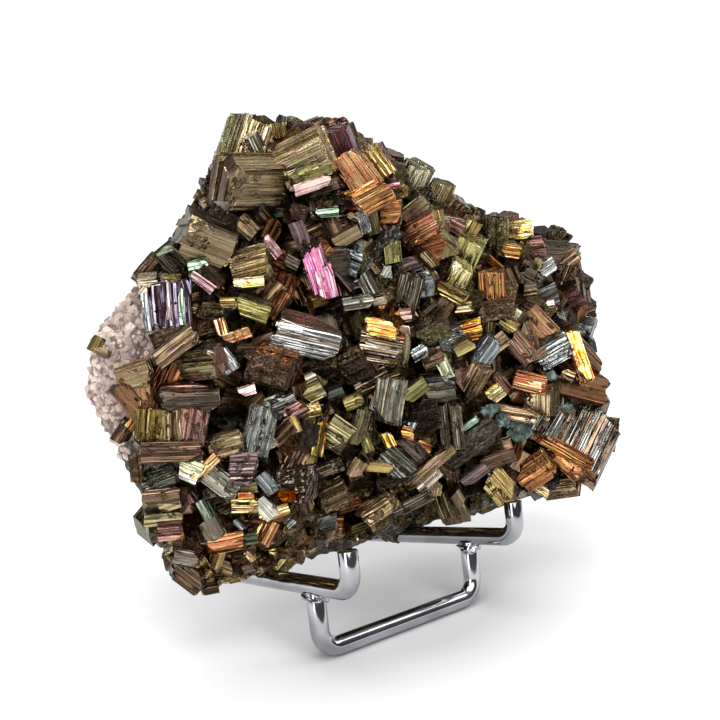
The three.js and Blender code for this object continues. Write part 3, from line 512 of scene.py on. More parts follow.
GRAINY_PLACES = {(-18, 33.5), (-2, 32.5), (11, 22.5), (-16.5, 14), (-22, 11)}
GRAINY_SHARE = 0.2
LARGE_FROM, LARGE_PROUD = 5.5, 0.7
SMALL_BELOW, OVERGROWN = 6, 1.12


def listed_crystal(chance, row):
    """Large crystals stand out a little further, and small ones are drawn larger, to close the gaps."""
    a, u, length, width, depth, turn, tilt, roll, sides, films, proud = row
    largest = max(length, width)
    raised = LARGE_PROUD if largest > LARGE_FROM else 0
    at = Vector((a, u, front_depth(a, u) + depth / 2 - proud - raised))
    slants = [(chance() - 0.5) * 0.3 for _ in range(4)]
    dull = films.split()[0] in ("brown", "dark", "olive", "grey")
    grainy = (a, u) in GRAINY_PLACES or (dull and chance() < GRAINY_SHARE)
    grown = OVERGROWN if largest < SMALL_BELOW else 1
    return dict(at=at, out=out_of_front(a, u), length=length * grown, width=width * grown,
                depth=depth * grown, turn=turn, tilt=tilt, roll=roll, sides=sides, slants=slants,
                films=films, grainy=int(grainy))


def chance_crystal(chance, at, out, smallest, largest):
    size = smallest + (largest - smallest) * chance()
    return dict(at=at, out=out, length=size * (0.9 + 0.6 * chance()), width=size * (0.75 + 0.4 * chance()),
                depth=size * (0.85 + 0.3 * chance()), turn=chance() * 180, tilt=-20 + 65 * chance(),
                roll=(chance() - 0.5) * 60, sides=4 + int(chance() * 3),
                slants=[(chance() - 0.5) * 0.5 for _ in range(4)], films=None)


def rim_crystals(chance):
    found = []
    for row in range(2):
        count = 24 - 3 * row
        for i in range(count):
            angle = ((i + 0.5 * (row % 2) + 0.5 * (chance() - 0.5)) / count) * 2 * math.pi - math.pi
            inset = 5 + 1.5 * row + 1.5 * chance() + (1 + 2 * row if math.cos(angle) < 0 else 0)
            reach = stone_radius(angle) - inset
            a = MIDDLE[0] + reach * math.cos(angle)
            u = MIDDLE[1] + reach * math.sin(angle)
            d = RIM_FALL + 4 + row * 9
            out = Vector((math.cos(angle), math.sin(angle), -0.5 + 0.35 * row)).normalized()
            crystal = chance_crystal(chance, Vector((a, u, d)), out, 6, 9)
            under_crust = row > 0 and a < -8 and 12 < u < 62
            if not under_crust and d < back_depth(a) - 6 and u > 8:
                found.append(crystal)
    return found


def back_crystals(chance):
    found = []
    for a in range(14, 58, 14):
        for u in range(8, 70, 14):
            x = a + (chance() - 0.5) * 5
            y = u + (chance() - 0.5) * 5
            crystal = chance_crystal(chance, Vector((x, y, back_depth(x) - 5.5)), Vector((0, 0, 1)), 6, 9)
            if rim_share(x, y) < 0.85:
                found.append(crystal)
    return found


def on_listed_edge(at):
    """The left edge and the crown's left side, where the listed crystals or the crust are enough."""
    return at.x < -30 and 18 < at.y < 53 or at.x < -17 and at.y > 55


CRYSTALS_ON_THE_SOLID_FACE, NUMBERS_EACH = 85, 6
chance = chance_from(20)
for _ in range(CRYSTALS_ON_THE_SOLID_FACE * NUMBERS_EACH):
    chance()
rim = [c for c in rim_crystals(chance) if not on_listed_edge(c["at"])]
rim += back_crystals(chance)
face_chance = chance_from(77)
listed = [listed_crystal(face_chance, row) for row in CRYSTALS]
print(len(listed), "listed and", len(rim), "on the rim and the back")

# %% [markdown]
# A crystal is a prism with four to six sides, and its sides are striated along its length. By hand
# it could be drawn as an outline and extruded. Here each kind starts as a block that is cleaved to
# its section with bisect, then scored along its length, and the bands between the scores are raised
# or lowered a little. That gives the ledges that catch the light. Twelve kinds are enough.

# %% Helpers for modelling by hand
def only(obj):
    """Selects one object and nothing else."""
    bpy.ops.object.select_all(action="DESELECT")
    obj.select_set(True)
    bpy.context.view_layer.objects.active = obj


def finish_with(obj, kind, **values):
    """Adds one modifier and applies it."""
    only(obj)
    m = obj.modifiers.new(kind, kind)
    for key, value in values.items():
        setattr(m, key, value)
    bpy.ops.object.modifier_apply(modifier=m.name)


def pick_faces(obj, wanted):
    """In edit mode, selects the faces that wanted(centre, normal) says yes to. Returns how many."""
    bpy.ops.object.mode_set(mode="OBJECT")
    mesh = obj.data
    mesh.vertices.foreach_set("select", np.zeros(len(mesh.vertices), bool))
    mesh.edges.foreach_set("select", np.zeros(len(mesh.edges), bool))
    chosen = [wanted(p.center, p.normal) for p in mesh.polygons]
    mesh.polygons.foreach_set("select", np.array(chosen, bool))
    bpy.ops.object.mode_set(mode="EDIT")
    bpy.ops.mesh.select_mode(type="FACE")
    return sum(chosen)


def cleave(point, outward):
    """Cuts away all that is beyond a plane and closes the cut."""
    bpy.ops.mesh.select_all(action="SELECT")
    bpy.ops.mesh.bisect(plane_co=point, plane_no=outward, use_fill=True, clear_outer=True)


# %% [markdown]
# Some of Blender's tools list the points and faces that they make in an order that changes from run to
# run. Chance differences go by that order, so each helper block and ball is rebuilt in an order of place.

# %% Points and faces in a settled order
def points_of(mesh):
    """The points of a mesh, one in each row."""
    found = np.empty(len(mesh.vertices) * 3)
    mesh.vertices.foreach_get("co", found)
    return found.reshape(-1, 3)


def settle_order(obj):
    """Rebuilds a mesh with its points sorted by place and its faces sorted by their points."""
    old, points = obj.data, points_of(obj.data)
    order = np.lexsort(np.round(points, 5).T)
    rank = np.argsort(order)
    faces = []
    for face in old.polygons:
        corners = [int(rank[v]) for v in face.vertices]
        first = corners.index(min(corners))
        loops = list(face.loop_indices)
        faces.append((corners[first:] + corners[:first], loops[first:] + loops[:first],
                      face.material_index))
    faces.sort()
    made = bpy.data.meshes.new(old.name)
    made.from_pydata(points[order].tolist(), [], [corners for corners, _, _ in faces])
    made.polygons.foreach_set("material_index", [slot for _, _, slot in faces])
    for material in old.materials:
        made.materials.append(material)
    for layer in old.uv_layers:
        spots = [layer.data[i].uv for _, loops, _ in faces for i in loops]
        made.uv_layers.new(name=layer.name).data.foreach_set("uv", np.array(spots, np.float32).ravel())
    obj.data = made
    bpy.data.meshes.remove(old)
    made.name = obj.name


# %% Cleave and score the twelve kinds of crystal
SECTIONS = {
    4: [(-1, -1), (1, -1), (1, 0.82), (0.8, 1), (-1, 1)],
    5: [(-0.59, -0.81), (0.62, -0.85), (0.97, 0.25), (0.05, 1), (-0.95, 0.33)],
    6: [(-0.55, -0.95), (0.5, -1), (1, -0.1), (0.6, 0.9), (-0.45, 1), (-1, 0.05)],
}


def raise_faces(block, way, height, wanted):
    """Extrudes the wanted faces along a direction, which leaves a ledge."""
    if pick_faces(block, wanted):
        bpy.ops.mesh.extrude_region_move(TRANSFORM_OT_translate={"value": Vector(way) * height})


def spaced_lines(rnd, count, low, high):
    step = (high - low) / count
    return [low + step * (i + 0.5 + rnd.uniform(-0.38, 0.38)) for i in range(count)]


def sides_of(section):
    """The long faces of a prism: outward way, way across the face, distance out, reach across."""
    for (y0, z0), (y1, z1) in zip(section, section[1:] + section[:1]):
        outward = Vector((0, z1 - z0, y0 - y1)).normalized()
        across = outward.cross((1, 0, 0))
        first, last = Vector((0, y0, z0)), Vector((0, y1, z1))
        reach = sorted((first.dot(across), last.dot(across)))
        yield outward, across, first.dot(outward), reach


def cleave_block(name, section):
    bpy.ops.object.select_all(action="DESELECT")
    bpy.ops.mesh.primitive_cube_add(size=2)
    block = bpy.context.object
    block.name = name
    bpy.ops.object.mode_set(mode="EDIT")
    for outward, _, distance, _ in sides_of(section):
        if max(abs(outward.y), abs(outward.z)) < 0.999 or distance < 0.999:
            cleave(outward * distance, outward)
    return block


def chip_corners(rnd, count):
    """Cuts a few corners off the ends, each at its own slant."""
    for _ in range(count):
        corner = Vector((rnd.choice((-1, 1)), rnd.choice((-1, 1)) * 0.9, rnd.choice((-1, 0.4, 1)) * 0.9))
        way = Vector((corner.x * rnd.uniform(0.4, 1.2), corner.y * rnd.uniform(0.3, 1),
                      corner.z * rnd.uniform(0.2, 1)))
        cleave(corner * rnd.uniform(0.72, 0.9), way.normalized())


def wear_edges(block, width):
    """Bevels the sharp edges. The new faces use a second, empty slot, so they can be given a painted
    highlight.
    """
    block.data.materials.append(None)
    block.data.materials.append(None)
    finish_with(block, "BEVEL", width=width, segments=1, limit_method="ANGLE", angle_limit=math.radians(40),
                material=1)


def uneven(rnd, section):
    """Moves the free corners of a section a little. Corners on the block's sides stay."""
    for y, z in section:
        if abs(y) < 1 and abs(z) < 1:
            y = max(-1, min(1, y + rnd.uniform(-0.07, 0.07)))
            z = max(-1, min(1, z + rnd.uniform(-0.07, 0.07)))
        yield y, z


def every_other(rnd, lines, low, high):
    """Every other band between lines, starting with the first or the second."""
    return list(zip([low] + lines, lines + [high]))[rnd.choice((0, 1))::2]


def crystal_kind(sides, variant):
    rnd = random.Random(100 * sides + variant)
    section = list(uneven(rnd, SECTIONS[sides]))
    block = cleave_block(f"kind_{sides}_{variant}", section)
    chip_corners(rnd, 3)
    for outward, across, distance, (low, high) in sides_of(section):
        if high - low < 0.5:
            continue
        lines = spaced_lines(rnd, rnd.choice((3, 4, 5)), low, high)
        for line in lines:
            pick_faces(block, lambda c, n: n.dot(outward) > 0.98)
            bpy.ops.mesh.bisect(plane_co=across * line, plane_no=across)
        for lo, hi in every_other(rnd, lines, low - 1, high + 1):
            raise_faces(block, outward, rnd.choice((0.02, 0.035, 0.06, 0.1)),
                        lambda c, n: n.dot(outward) > 0.98 and lo < c.dot(across) < hi
                        and c.dot(outward) < distance + 1e-4)
    for end in (1, -1):
        way = Vector((0, 1, 0))
        way.rotate(Matrix.Rotation(rnd.uniform(0, 2 * math.pi), 3, "X"))
        lines = spaced_lines(rnd, 4, -0.9, 0.9)
        for line in lines:
            pick_faces(block, lambda c, n: n.x * end > 0.9)
            bpy.ops.mesh.bisect(plane_co=way * line, plane_no=way)
        for lo, hi in every_other(rnd, lines, -2, 2):
            raise_faces(block, (end, 0, 0), rnd.uniform(0.02, 0.13),
                        lambda c, n: n.x * end > 0.9 and lo < c.dot(way) < hi)
    bpy.ops.object.mode_set(mode="OBJECT")
    wear_edges(block, 0.03)
    settle_order(block)
    return block


def triangles(obj):
    return sum(len(p.vertices) - 2 for p in obj.data.polygons)


kinds = {(sides, v): crystal_kind(sides, v) for sides in SECTIONS for v in range(4)}
print("triangles:", {key: triangles(block) for key, block in kinds.items()})

# %% [markdown]
# Small crystals don't need so many ledges. Their kinds are cleaved in the same way, but only every
# other side gets one ledge, and the edges stay sharp.

# %% Simple kinds for small crystals
def simple_kind(sides, variant):
    rnd = random.Random(900 + 10 * sides + variant)
    block = cleave_block(f"simple_{sides}_{variant}", SECTIONS[sides])
    chip_corners(rnd, 3)
    for outward, across, distance, (low, high) in list(sides_of(SECTIONS[sides]))[variant % 2::2]:
        line = low + (high - low) * rnd.uniform(0.3, 0.7)
        pick_faces(block, lambda c, n: n.dot(outward) > 0.98)
        bpy.ops.mesh.bisect(plane_co=across * line, plane_no=across)
        raise_faces(block, outward, rnd.uniform(0.05, 0.12),
                    lambda c, n: n.dot(outward) > 0.98 and c.dot(across) > line)
    bpy.ops.object.mode_set(mode="OBJECT")
    settle_order(block)
    return block


simple_kinds = {(sides, v): simple_kind(sides, v) for sides in SECTIONS for v in range(4)}
print("triangles:", {key: triangles(block) for key, block in simple_kinds.items()})

# %% [markdown]
# Each crystal is a copy of one kind with a mesh of its own. The copy is stretched to its size, its
# ends are slanted, its points are made a little uneven, and it is turned to its place. A crystal that
# would stick out of the measured box is slid back inside.

# %% Plant a crystal
UNEVENNESS = 0.016
BOX_MARGIN = 1e-4


def put_points(mesh, points):
    mesh.vertices.foreach_set("co", points.astype(np.float32).ravel())


def add_object(name, mesh):
    made = bpy.data.objects.new(name, mesh)
    bpy.context.collection.objects.link(made)
    return made


def crystal_axes(crystal, twist):
    """The way along a crystal, the way across it and the way out of its front."""
    away = stone_direction(crystal["out"])
    east = (ACROSS - away * ACROSS.dot(away)).normalized()
    north = away.cross(east)
    turn, tilt = math.radians(crystal["turn"] + twist), math.radians(crystal["tilt"] + 0.7 * twist)
    flat = east * math.cos(turn) + north * math.sin(turn)
    axis = flat * math.cos(tilt) + away * math.sin(tilt)
    face = away * math.cos(tilt) - flat * math.sin(tilt)
    face.rotate(Matrix.Rotation(math.radians(crystal["roll"] - twist), 3, axis))
    return np.array([axis, face.cross(axis), face]), np.array(away)


def plant(crystal, kind, rnd, part=(1, 1, 1), beside=(0, 0, 0), twist=0):
    """Copies a kind to a crystal's place. part scales it and beside shifts it, as shares of its size."""
    mesh = kind.data.copy()
    unit = points_of(mesh)
    unit = unit + np.array([rnd.gauss(0, UNEVENNESS) for _ in range(unit.size)]).reshape(-1, 3)
    half = np.array([crystal["length"], crystal["width"], crystal["depth"]]) / 2
    local = unit * half * part + half * beside
    slants = crystal["slants"]
    slant_y = np.where(unit[:, 0] < 0, slants[0], slants[2])
    slant_z = np.where(unit[:, 0] < 0, slants[1], slants[3])
    local[:, 0] += slant_y * local[:, 1] + slant_z * local[:, 2]

    turned, away = crystal_axes(crystal, twist)
    spots = np.array(stone_point(*crystal["at"])) + (local @ turned) * MM
    low, high = np.array(box_of_solids[0]) + BOX_MARGIN, np.array(box_of_solids[1]) - BOX_MARGIN
    spots += np.maximum(low - spots.min(axis=0), 0) - np.maximum(spots.max(axis=0) - high, 0)
    put_points(mesh, spots)
    height = local @ turned @ away
    buried = height.max() - height + crystal.get("sunk", 0)
    paint(mesh, local, crystal["films"] or chance_films(rnd), rnd, buried, crystal.get("grainy", 0))
    return add_object("crystal", mesh)


# %% [markdown]
# Paint goes on face by face, as attributes that the material reads later. For that, each face needs
# its normal in the crystal's own axes: it tells the ends from the sides and the front from the rest.
# The map is laid with plain sums instead of an unwrap, because it has to run along the striations.

# %% The map along the striations
def corners_of(mesh):
    """For each corner its vertex and its face, and for each face its number of corners."""
    vertex = np.empty(len(mesh.loops), np.int32)
    mesh.loops.foreach_get("vertex_index", vertex)
    totals = np.empty(len(mesh.polygons), np.int32)
    mesh.polygons.foreach_get("loop_total", totals)
    return vertex, np.repeat(np.arange(len(totals)), totals), totals


def unit_rows(rows, least):
    return rows / np.maximum(np.linalg.norm(rows, axis=1, keepdims=True), least)


def face_normals(spot, of_corner, totals):
    starts = np.cumsum(totals) - totals
    following = np.arange(len(spot)) + 1
    following[starts + totals - 1] = starts
    first = spot[starts][of_corner]
    normals = np.zeros((len(totals), 3))
    np.add.at(normals, of_corner, np.cross(spot - first, spot[following] - first))
    return unit_rows(normals, 1e-12)


def lay_map(mesh, spot, normals, ends, of_corner, rnd):
    """A map in millimetres along and across the striations, which are finer on some crystals."""
    over_way = unit_rows(np.cross(normals, (1.0, 0, 0)), 1e-9)
    fineness = rnd.uniform(0.9, 1.7)
    along = np.where(ends, spot[:, 1], spot[:, 0]) + rnd.uniform(0, 400)
    over = np.where(ends, spot[:, 2], (spot * over_way[of_corner]).sum(axis=1)) * fineness
    over = over + rnd.uniform(0, 400)
    while mesh.uv_layers:
        mesh.uv_layers.remove(mesh.uv_layers[0])
    layer = mesh.uv_layers.new(name="Striations")
    layer.data.foreach_set("uv", np.stack([along, over], axis=1).astype(np.float32).ravel())


# %% The films of each face
# Painted shade: the colour that films fade towards where a crystal is buried.
BURIED_SHADE = (0.24, 0.17, 0.11)
END_FROM = 0.6
BRIGHTNESS, LARGE_BRIGHTER, BRIGHTEST = (0.74, 1.22), 0.12, 0.97
# Painted highlight: how much brighter the bevelled edge faces are painted.
EDGE_HIGHLIGHT = 0.5
STREAK_STRENGTHS = dict(rust=0.2, ink=1.0, iris=1.0, teal=1.0, silver=1.0, banded=0.8)


def give_values(mesh, label, values):
    """One number for each face, kept in an attribute of the mesh."""
    kept = mesh.attributes.new(label, "FLOAT", "FACE")
    kept.data.foreach_set("value", np.asarray(values, np.float32))


def painted_shade_and_highlight(mesh, buried, vertex, of_corner, totals):
    """Painted shade: films go dark where a crystal is buried among its neighbours. Painted highlight: the
    bevelled edge faces are made brighter.
    """
    sunk = np.zeros(len(totals))
    np.add.at(sunk, of_corner, buried[vertex])
    reach = buried.max() - buried.min()
    dark = (sunk / totals - max(1.3, 0.45 * reach)) / max(2.2, 0.45 * reach)
    painted_light = 1 - np.clip(dark, 0, 1)[:, None] * (1 - np.array(BURIED_SHADE))
    # The bevelled edge faces, which get the painted highlight.
    edge_face = np.empty(len(totals), np.int32)
    mesh.polygons.foreach_get("material_index", edge_face)
    mesh.polygons.foreach_set("material_index", np.zeros(len(totals), np.int32))
    return painted_light * (1 + EDGE_HIGHLIGHT * edge_face[:, None]), reach


def paint(mesh, local, films, rnd, buried, grainy):
    """Gives a crystal its map and, for each face, its film, its streaks, its gloss and its lines. The films
    carry painted shade where the crystal is buried and a painted highlight on its bevelled edges.
    """
    vertex, of_corner, totals = corners_of(mesh)
    spot = local[vertex]
    normals = face_normals(spot, of_corner, totals)
    is_end = np.abs(normals[:, 0]) > END_FROM
    lay_map(mesh, spot, normals, is_end[of_corner], of_corner, rnd)

    front, upper, lower, end = films.split()
    names = [end if e else front if n[2] > 0.5 else upper if n[1] > 0 else lower
             for e, n in zip(is_end, normals)]
    # Painted shade where the crystal is buried, and a painted highlight on its bevelled edges.
    painted_light, reach = painted_shade_and_highlight(mesh, buried, vertex, of_corner, totals)
    shade = rnd.uniform(*BRIGHTNESS) + (LARGE_BRIGHTER if reach > 4 else 0)
    for label, which in (("film", 0), ("streak", 1)):
        colours = np.ones((len(names), 4), np.float32)
        colours[:, :3] = np.minimum(np.array([FILMS[n][which] for n in names]) * shade * painted_light, BRIGHTEST)
        mesh.attributes.new(label, "FLOAT_COLOR", "FACE").data.foreach_set("color", colours.ravel())
    dullness = {n: rnd.uniform(0, 0.6) for n in films.split()}
    give_values(mesh, "gloss", [1.0 if n in GLOSSY else dullness[n] for n in names])
    strong = {n: rnd.choice((0.25, 0.5, 0.75, 1.0)) for n in films.split()}
    strong.update(STREAK_STRENGTHS)
    give_values(mesh, "lined", [0.15 if e else strong[n] for e, n in zip(is_end, names)])
    give_values(mesh, "grainy", [grainy] * len(names))


# %% Films by chance, and joining
COMMON_FILMS = ["bronze", "olive", "brown", "dark", "bronze", "brown", "tan", "copper", "olive", "bronze",
                "iron"]
RARE_FILMS = ["plum", "copper", "gold", "brass", "lime", "slate", "rose", "steel", "mauve", "silver"]
RARE_SHARE = 0.14


def chance_films(rnd):
    """Films for the front, upper side, lower side and end. The first two are often the same."""
    pick = lambda: rnd.choice(RARE_FILMS if rnd.random() < RARE_SHARE else COMMON_FILMS)
    first = pick()
    return f"{first} {first if rnd.random() < 0.5 else pick()} {pick()} {pick()}"


def join(objects, name):
    """Joins objects in one piece with a name of its own."""
    bpy.ops.object.select_all(action="DESELECT")
    for o in objects:
        o.select_set(True)
    bpy.context.view_layer.objects.active = objects[0]
    bpy.ops.object.join()
    made = bpy.context.object
    made.name = made.data.name = name
    return made


# %% [markdown]
# The massive pyrite under the crystals is one closed lump. By hand it is a ball whose rings are
# pulled to the stone's outline one by one. Subdivision smooths it, and two displacements give it the
# rough, broken skin that shows between the crystals and along the bottom edge.

# %% Helpers for lumps
def shaped_ball(name, columns, rings, place):
    """A ball whose rings are pulled to their places. place(share, mix, angle) gives a point."""
    bpy.ops.object.select_all(action="DESELECT")
    bpy.ops.mesh.primitive_uv_sphere_add(segments=columns, ring_count=len(rings) + 1, radius=1)
    ball = bpy.context.object
    ball.name = ball.data.name = name
    settle_order(ball)
    for v in ball.data.vertices:
        polar = math.acos(max(-1, min(1, v.co.z)))
        row = round(polar / (math.pi / (len(rings) + 1)))
        angle = math.atan2(v.co.y, v.co.x)
        if row == 0:
            v.co = place(0, rings[0][1], angle)
        elif row == len(rings) + 1:
            v.co = place(0, rings[-1][1], angle)
        else:
            v.co = place(*rings[row - 1], angle)
    only(ball)
    bpy.ops.object.mode_set(mode="EDIT")
    bpy.ops.mesh.select_all(action="SELECT")
    bpy.ops.mesh.normals_make_consistent(inside=False)
    bpy.ops.object.mode_set(mode="OBJECT")
    return ball


def grit(name, kind, size, **values):
    texture = bpy.data.textures.new(name, kind)
    texture.noise_scale = size * MM
    for key, value in values.items():
        setattr(texture, key, value)
    return texture


def bare_underside(angle):
    return ease((-math.sin(angle) - 0.6) / 0.25)


# %% The massive pyrite
def massive_place(share, mix, angle):
    skin = RIM_SKIN * (1 - bare_underside(angle))
    reach = (stone_radius(angle) - skin) * share
    a, u = MIDDLE[0] + reach * math.cos(angle), MIDDLE[1] + reach * math.sin(angle)
    front = front_depth(a, u) + CRYSTAL_SKIN + 1.5
    back = back_depth(a) - 9 * rim_share(a, u) ** 4 - 3
    return stone_point(a, u, front + (back - front) * mix)


MASSIVE_RINGS = [(0.35, 0), (0.7, 0), (0.88, 0.02), (0.97, 0.14), (1, 0.35), (1, 0.55), (0.96, 0.78),
                 (0.84, 0.95), (0.62, 1), (0.35, 1)]
massive = shaped_ball("pyrite_massive", 56, MASSIVE_RINGS, massive_place)
finish_with(massive, "SUBSURF", levels=3, render_levels=3)
finish_with(massive, "DISPLACE", texture=grit("lumps", "CLOUDS", 7, noise_depth=3), strength=2.6 * MM,
            mid_level=0.55, texture_coords="GLOBAL")
finish_with(massive, "DISPLACE", texture=grit("broken", "VORONOI", 2.2, distance_metric="DISTANCE"),
            strength=-1.2 * MM, mid_level=0.3, texture_coords="GLOBAL")
print("massive pyrite", len(massive.data.polygons), "faces")

# %% [markdown]
# The easel's path is worked out before more of the stone is made, because every stone piece is pushed
# clear of the wires. Each wire is a short list of corners, and the bends between them are arcs. The
# dressed wires are round, so they are lifted by the little that the measured flats save.

# %% The easel's path
HOOK = dict(half=19.1, y=-8.8, z=14.6, height=6.4, lean=10)
ARM = dict(slope=0.225, splay=0.074, reach=63.14)
UPRIGHT = dict(lean=3, top_z=44, top_half=8)
BAR_HALF, LEG_LEAN, WELD_Y = 18, 10, 1.6


def arm_point(side, y):
    """A place on an arm. The arms slope down and come closer together towards the back."""
    along = y - HOOK["y"]
    return Vector((side * (HOOK["half"] - ARM["splay"] * along), y, HOOK["z"] - ARM["slope"] * along))


def frame_corners():
    def half(side):
        corner = arm_point(side, HOOK["y"])
        lean = math.radians(HOOK["lean"])
        tip = corner + Vector((0, math.sin(lean), math.cos(lean))) * HOOK["height"]
        heel = arm_point(side, HOOK["y"] + ARM["reach"])
        rise = UPRIGHT["top_z"] - heel.z
        top_y = heel.y + rise * math.tan(math.radians(UPRIGHT["lean"]))
        return [tip, corner, heel, Vector((side * UPRIGHT["top_half"], top_y, UPRIGHT["top_z"]))]

    return half(-1) + half(1)[::-1]


def leg_corners():
    foot = WIRE_RADIUS * FLAT_SHARE
    lean = math.radians(LEG_LEAN)

    def top(side):
        height = (arm_point(side, WELD_Y).z - foot) / math.cos(lean) - WIRE_RADIUS * 0.6
        return Vector((side * BAR_HALF, 0, foot)) + Vector((0, math.sin(lean), math.cos(lean))) * height

    return [top(-1), Vector((-BAR_HALF, 0, foot)), Vector((BAR_HALF, 0, foot)), top(1)]


def rounded(corners, bends, steps=10):
    """The corners of a wire's path with arcs of the given radii in place of the sharp ones."""
    stops = []
    for i, corner in enumerate(corners):
        if not bends[i]:
            stops.append(corner)
            continue
        back = (corners[i - 1] - corner).normalized()
        on = (corners[i + 1] - corner).normalized()
        half = back.angle(on) / 2
        centre = corner + (back + on).normalized() * (bends[i] / math.sin(half))
        start = corner + back * (bends[i] / math.tan(half)) - centre
        end = corner + on * (bends[i] / math.tan(half)) - centre
        spin = start.cross(end).normalized()
        for s in range(steps + 1):
            turned = start.copy()
            turned.rotate(Matrix.Rotation((math.pi - 2 * half) * s / steps, 3, spin))
            stops.append(centre + turned)
    return stops


lift = Vector((0, 0, WIRE_RADIUS * (1 - FLAT_SHARE)))
frame_path = [p + lift for p in rounded(frame_corners(), [0, 3.2, 5, 5, 5, 5, 3.2, 0])]
leg_path = [p + lift for p in rounded(leg_corners(), [0, 3.4, 3.4, 0])]
print("wire paths:", len(frame_path), "and", len(leg_path), "stops")

# %% [markdown]
# Two rules hold for every piece of the stone. It doesn't cut into a wire, and it doesn't leave the
# box of the measured solids. A point that breaks a rule is moved the shortest way that mends it.

# %% Keep the stone off the wires
def from_wires(points):
    """For points in metres: distance in mm to the nearest wire, and the nearest place on it."""
    best = np.full(len(points), 1e9)
    nearest = np.zeros((len(points), 3))
    for path in (frame_path, leg_path):
        stops = np.array([stand_point(*p) for p in path])
        for p, q in zip(stops, stops[1:]):
            d = q - p
            t = np.clip(((points - p) @ d) / (d @ d), 0, 1)
            spot = p + t[:, None] * d
            gap = np.linalg.norm(points - spot, axis=1) / MM
            closer = gap < best
            best[closer] = gap[closer]
            nearest[closer] = spot[closer]
    return best, nearest


SKIN_MARGIN = 2e-5


def keep_clear(obj, gap=0.25):
    """Pushes a stone piece off the wires and keeps it inside the measured box."""
    points = points_of(obj.data)
    distance, nearest = from_wires(points)
    tight = distance < WIRE_RADIUS + gap
    away = points[tight] - nearest[tight]
    away /= np.maximum(np.linalg.norm(away, axis=1, keepdims=True), 1e-9)
    points[tight] = nearest[tight] + away * (WIRE_RADIUS + gap) * MM
    low, high = np.array(box_of_solids[0]), np.array(box_of_solids[1])
    put_points(obj.data, np.clip(points, low + SKIN_MARGIN, high - SKIN_MARGIN))
    obj.data.update()
    return int(tight.sum())


print("massive pyrite: moved", keep_clear(massive), "points off the wires")

# %% [markdown]
# Smaller crystals are scattered over the massive pyrite. Their places are chosen on its own skin,
# spaced apart, so they follow the face, the rim and the back. A place is tried at random and kept if
# no other is too near. A coarse grid of the kept places makes that test quick.

# %% Scatter small crystals over the skin
def stone_coordinates(p):
    q = (Vector(p) - STAND) / MM - FOOT
    return q.dot(ACROSS), q.dot(UP), q.dot(DEEP)


def loose_crystal(rnd, at, out, sizes, tilts=(-30, 60), rolls=45, sides=(4, 4, 5, 6), sunk=0,
                  grainy=(0, 0, 1)):
    """A crystal of given length, width and depth that is turned by chance."""
    return dict(
        at=at, out=out, length=sizes[0], width=sizes[1], depth=sizes[2], turn=rnd.uniform(0, 180),
        tilt=rnd.uniform(*tilts), roll=rnd.uniform(-rolls, rolls), sides=rnd.choice(sides),
        slants=[rnd.uniform(-0.25, 0.25) for _ in range(4)], films=None, sunk=sunk, grainy=rnd.choice(grainy))


def scattered(count, apart, smallest, largest, sunk, seed, wanted, tries=12):
    """Places on the massive pyrite's skin that are at least apart millimetres from each other."""
    rnd = random.Random(seed)
    faces = massive.data.polygons
    taken, found = {}, []
    for _ in range(count * tries):
        if len(found) >= count:
            break
        p = faces[rnd.randrange(len(faces))]
        a, u, d = stone_coordinates(p.center)
        if not wanted(a, u, d, largest):
            continue
        cell = (int(a // apart), int(u // apart), int(d // apart))
        near = [taken.get((cell[0] + i, cell[1] + j, cell[2] + k))
                for i in (-1, 0, 1) for j in (-1, 0, 1) for k in (-1, 0, 1)]
        if any(o and (o - Vector((a, u, d))).length < apart for o in near):
            continue
        taken[cell] = Vector((a, u, d))
        n = Vector((p.normal.dot(ACROSS), p.normal.dot(UP), p.normal.dot(DEEP))).normalized()
        size = smallest + (largest - smallest) * rnd.random() ** 1.6
        sizes = (size * rnd.uniform(0.9, 1.6), size * rnd.uniform(0.7, 1.1), size * rnd.uniform(0.8, 1.2))
        at = Vector((a, u, d)) + n * (size * 0.5 - sunk)
        found.append(loose_crystal(rnd, at, n, sizes, tilts=(-30, 55), rolls=40, sunk=1.5))
    return found


# %% [markdown]
# Each rule below says where one sort of crystal may grow. On the skin in general, the crust, the
# underside and the crown's left side stay free. The broken lower edge of the face has only fine
# grains, and round the crust on the back there are crystals again.

# %% Where they may grow


def on_skin(a, u, d, largest):
    under_crust = a < 10 and 12 < u < 60 and d > 9
    at_crust_edge = a < -31 and 16 < u < 54 and d > 6
    underside = u < 5 and d > 9
    bare_edge = u < 4 and a > -26
    crown_side = a < -19 and u > 55 or largest > 2 and a < -9 and u > 58 and d > 14
    foot_of_face = largest > 2 and a < -14 and u < 10 and d < 16
    taken = under_crust or at_crust_edge or underside or crown_side or foot_of_face
    return not (taken or bare_edge and largest > 2)


def on_foot(a, u, d, largest):
    """The broken lower edge of the face, where only fine grains grow."""
    return d < 15 and (u < 5.5 or a < -18 and u < 11)


def beside_crust(a, u, d, largest):
    """The back of the stone round the crust, but not where a crystal would stick out past the face."""
    x, y = a - CRUST_MIDDLE[0], u - CRUST_MIDDLE[1]
    outside = math.hypot(x, y) > 0.93 * crust_radius(math.atan2(y, x))
    return d > 22 and a < 10 and 12 < u < 60 and outside and rim_share(a - 0.5 * d, u) < 0.92


# %% [markdown]
# Behind the listed crystals, others fill the face, half hidden. They leave some holes open, which
# look black on the real stone and set the bright crystals off. The low left corner is granular, so
# it is packed with small ones.

# %% Crystals that fill the face
HOLES = [  # across, up, radius
    (-22, 42, 3.3), (-10, 62, 2.1), (-28, 27, 2.3), (-2, 55, 2.1), (-3, 28, 2.4), (11, 29, 2.5),
    (25, 37, 2.7), (11, 49, 2.2), (-22, 17, 2.0), (44, 44, 2.0), (-5, 43, 2.1), (23, 47, 1.9), (-30, 34, 1.3),
]
FILLERS_APART = 2.6


def is_free(a, u, rings):
    """Whether a place on the face is outside every ring of across, up and radius."""
    return all(math.hypot(a - x, u - y) >= r for x, y, r in rings)


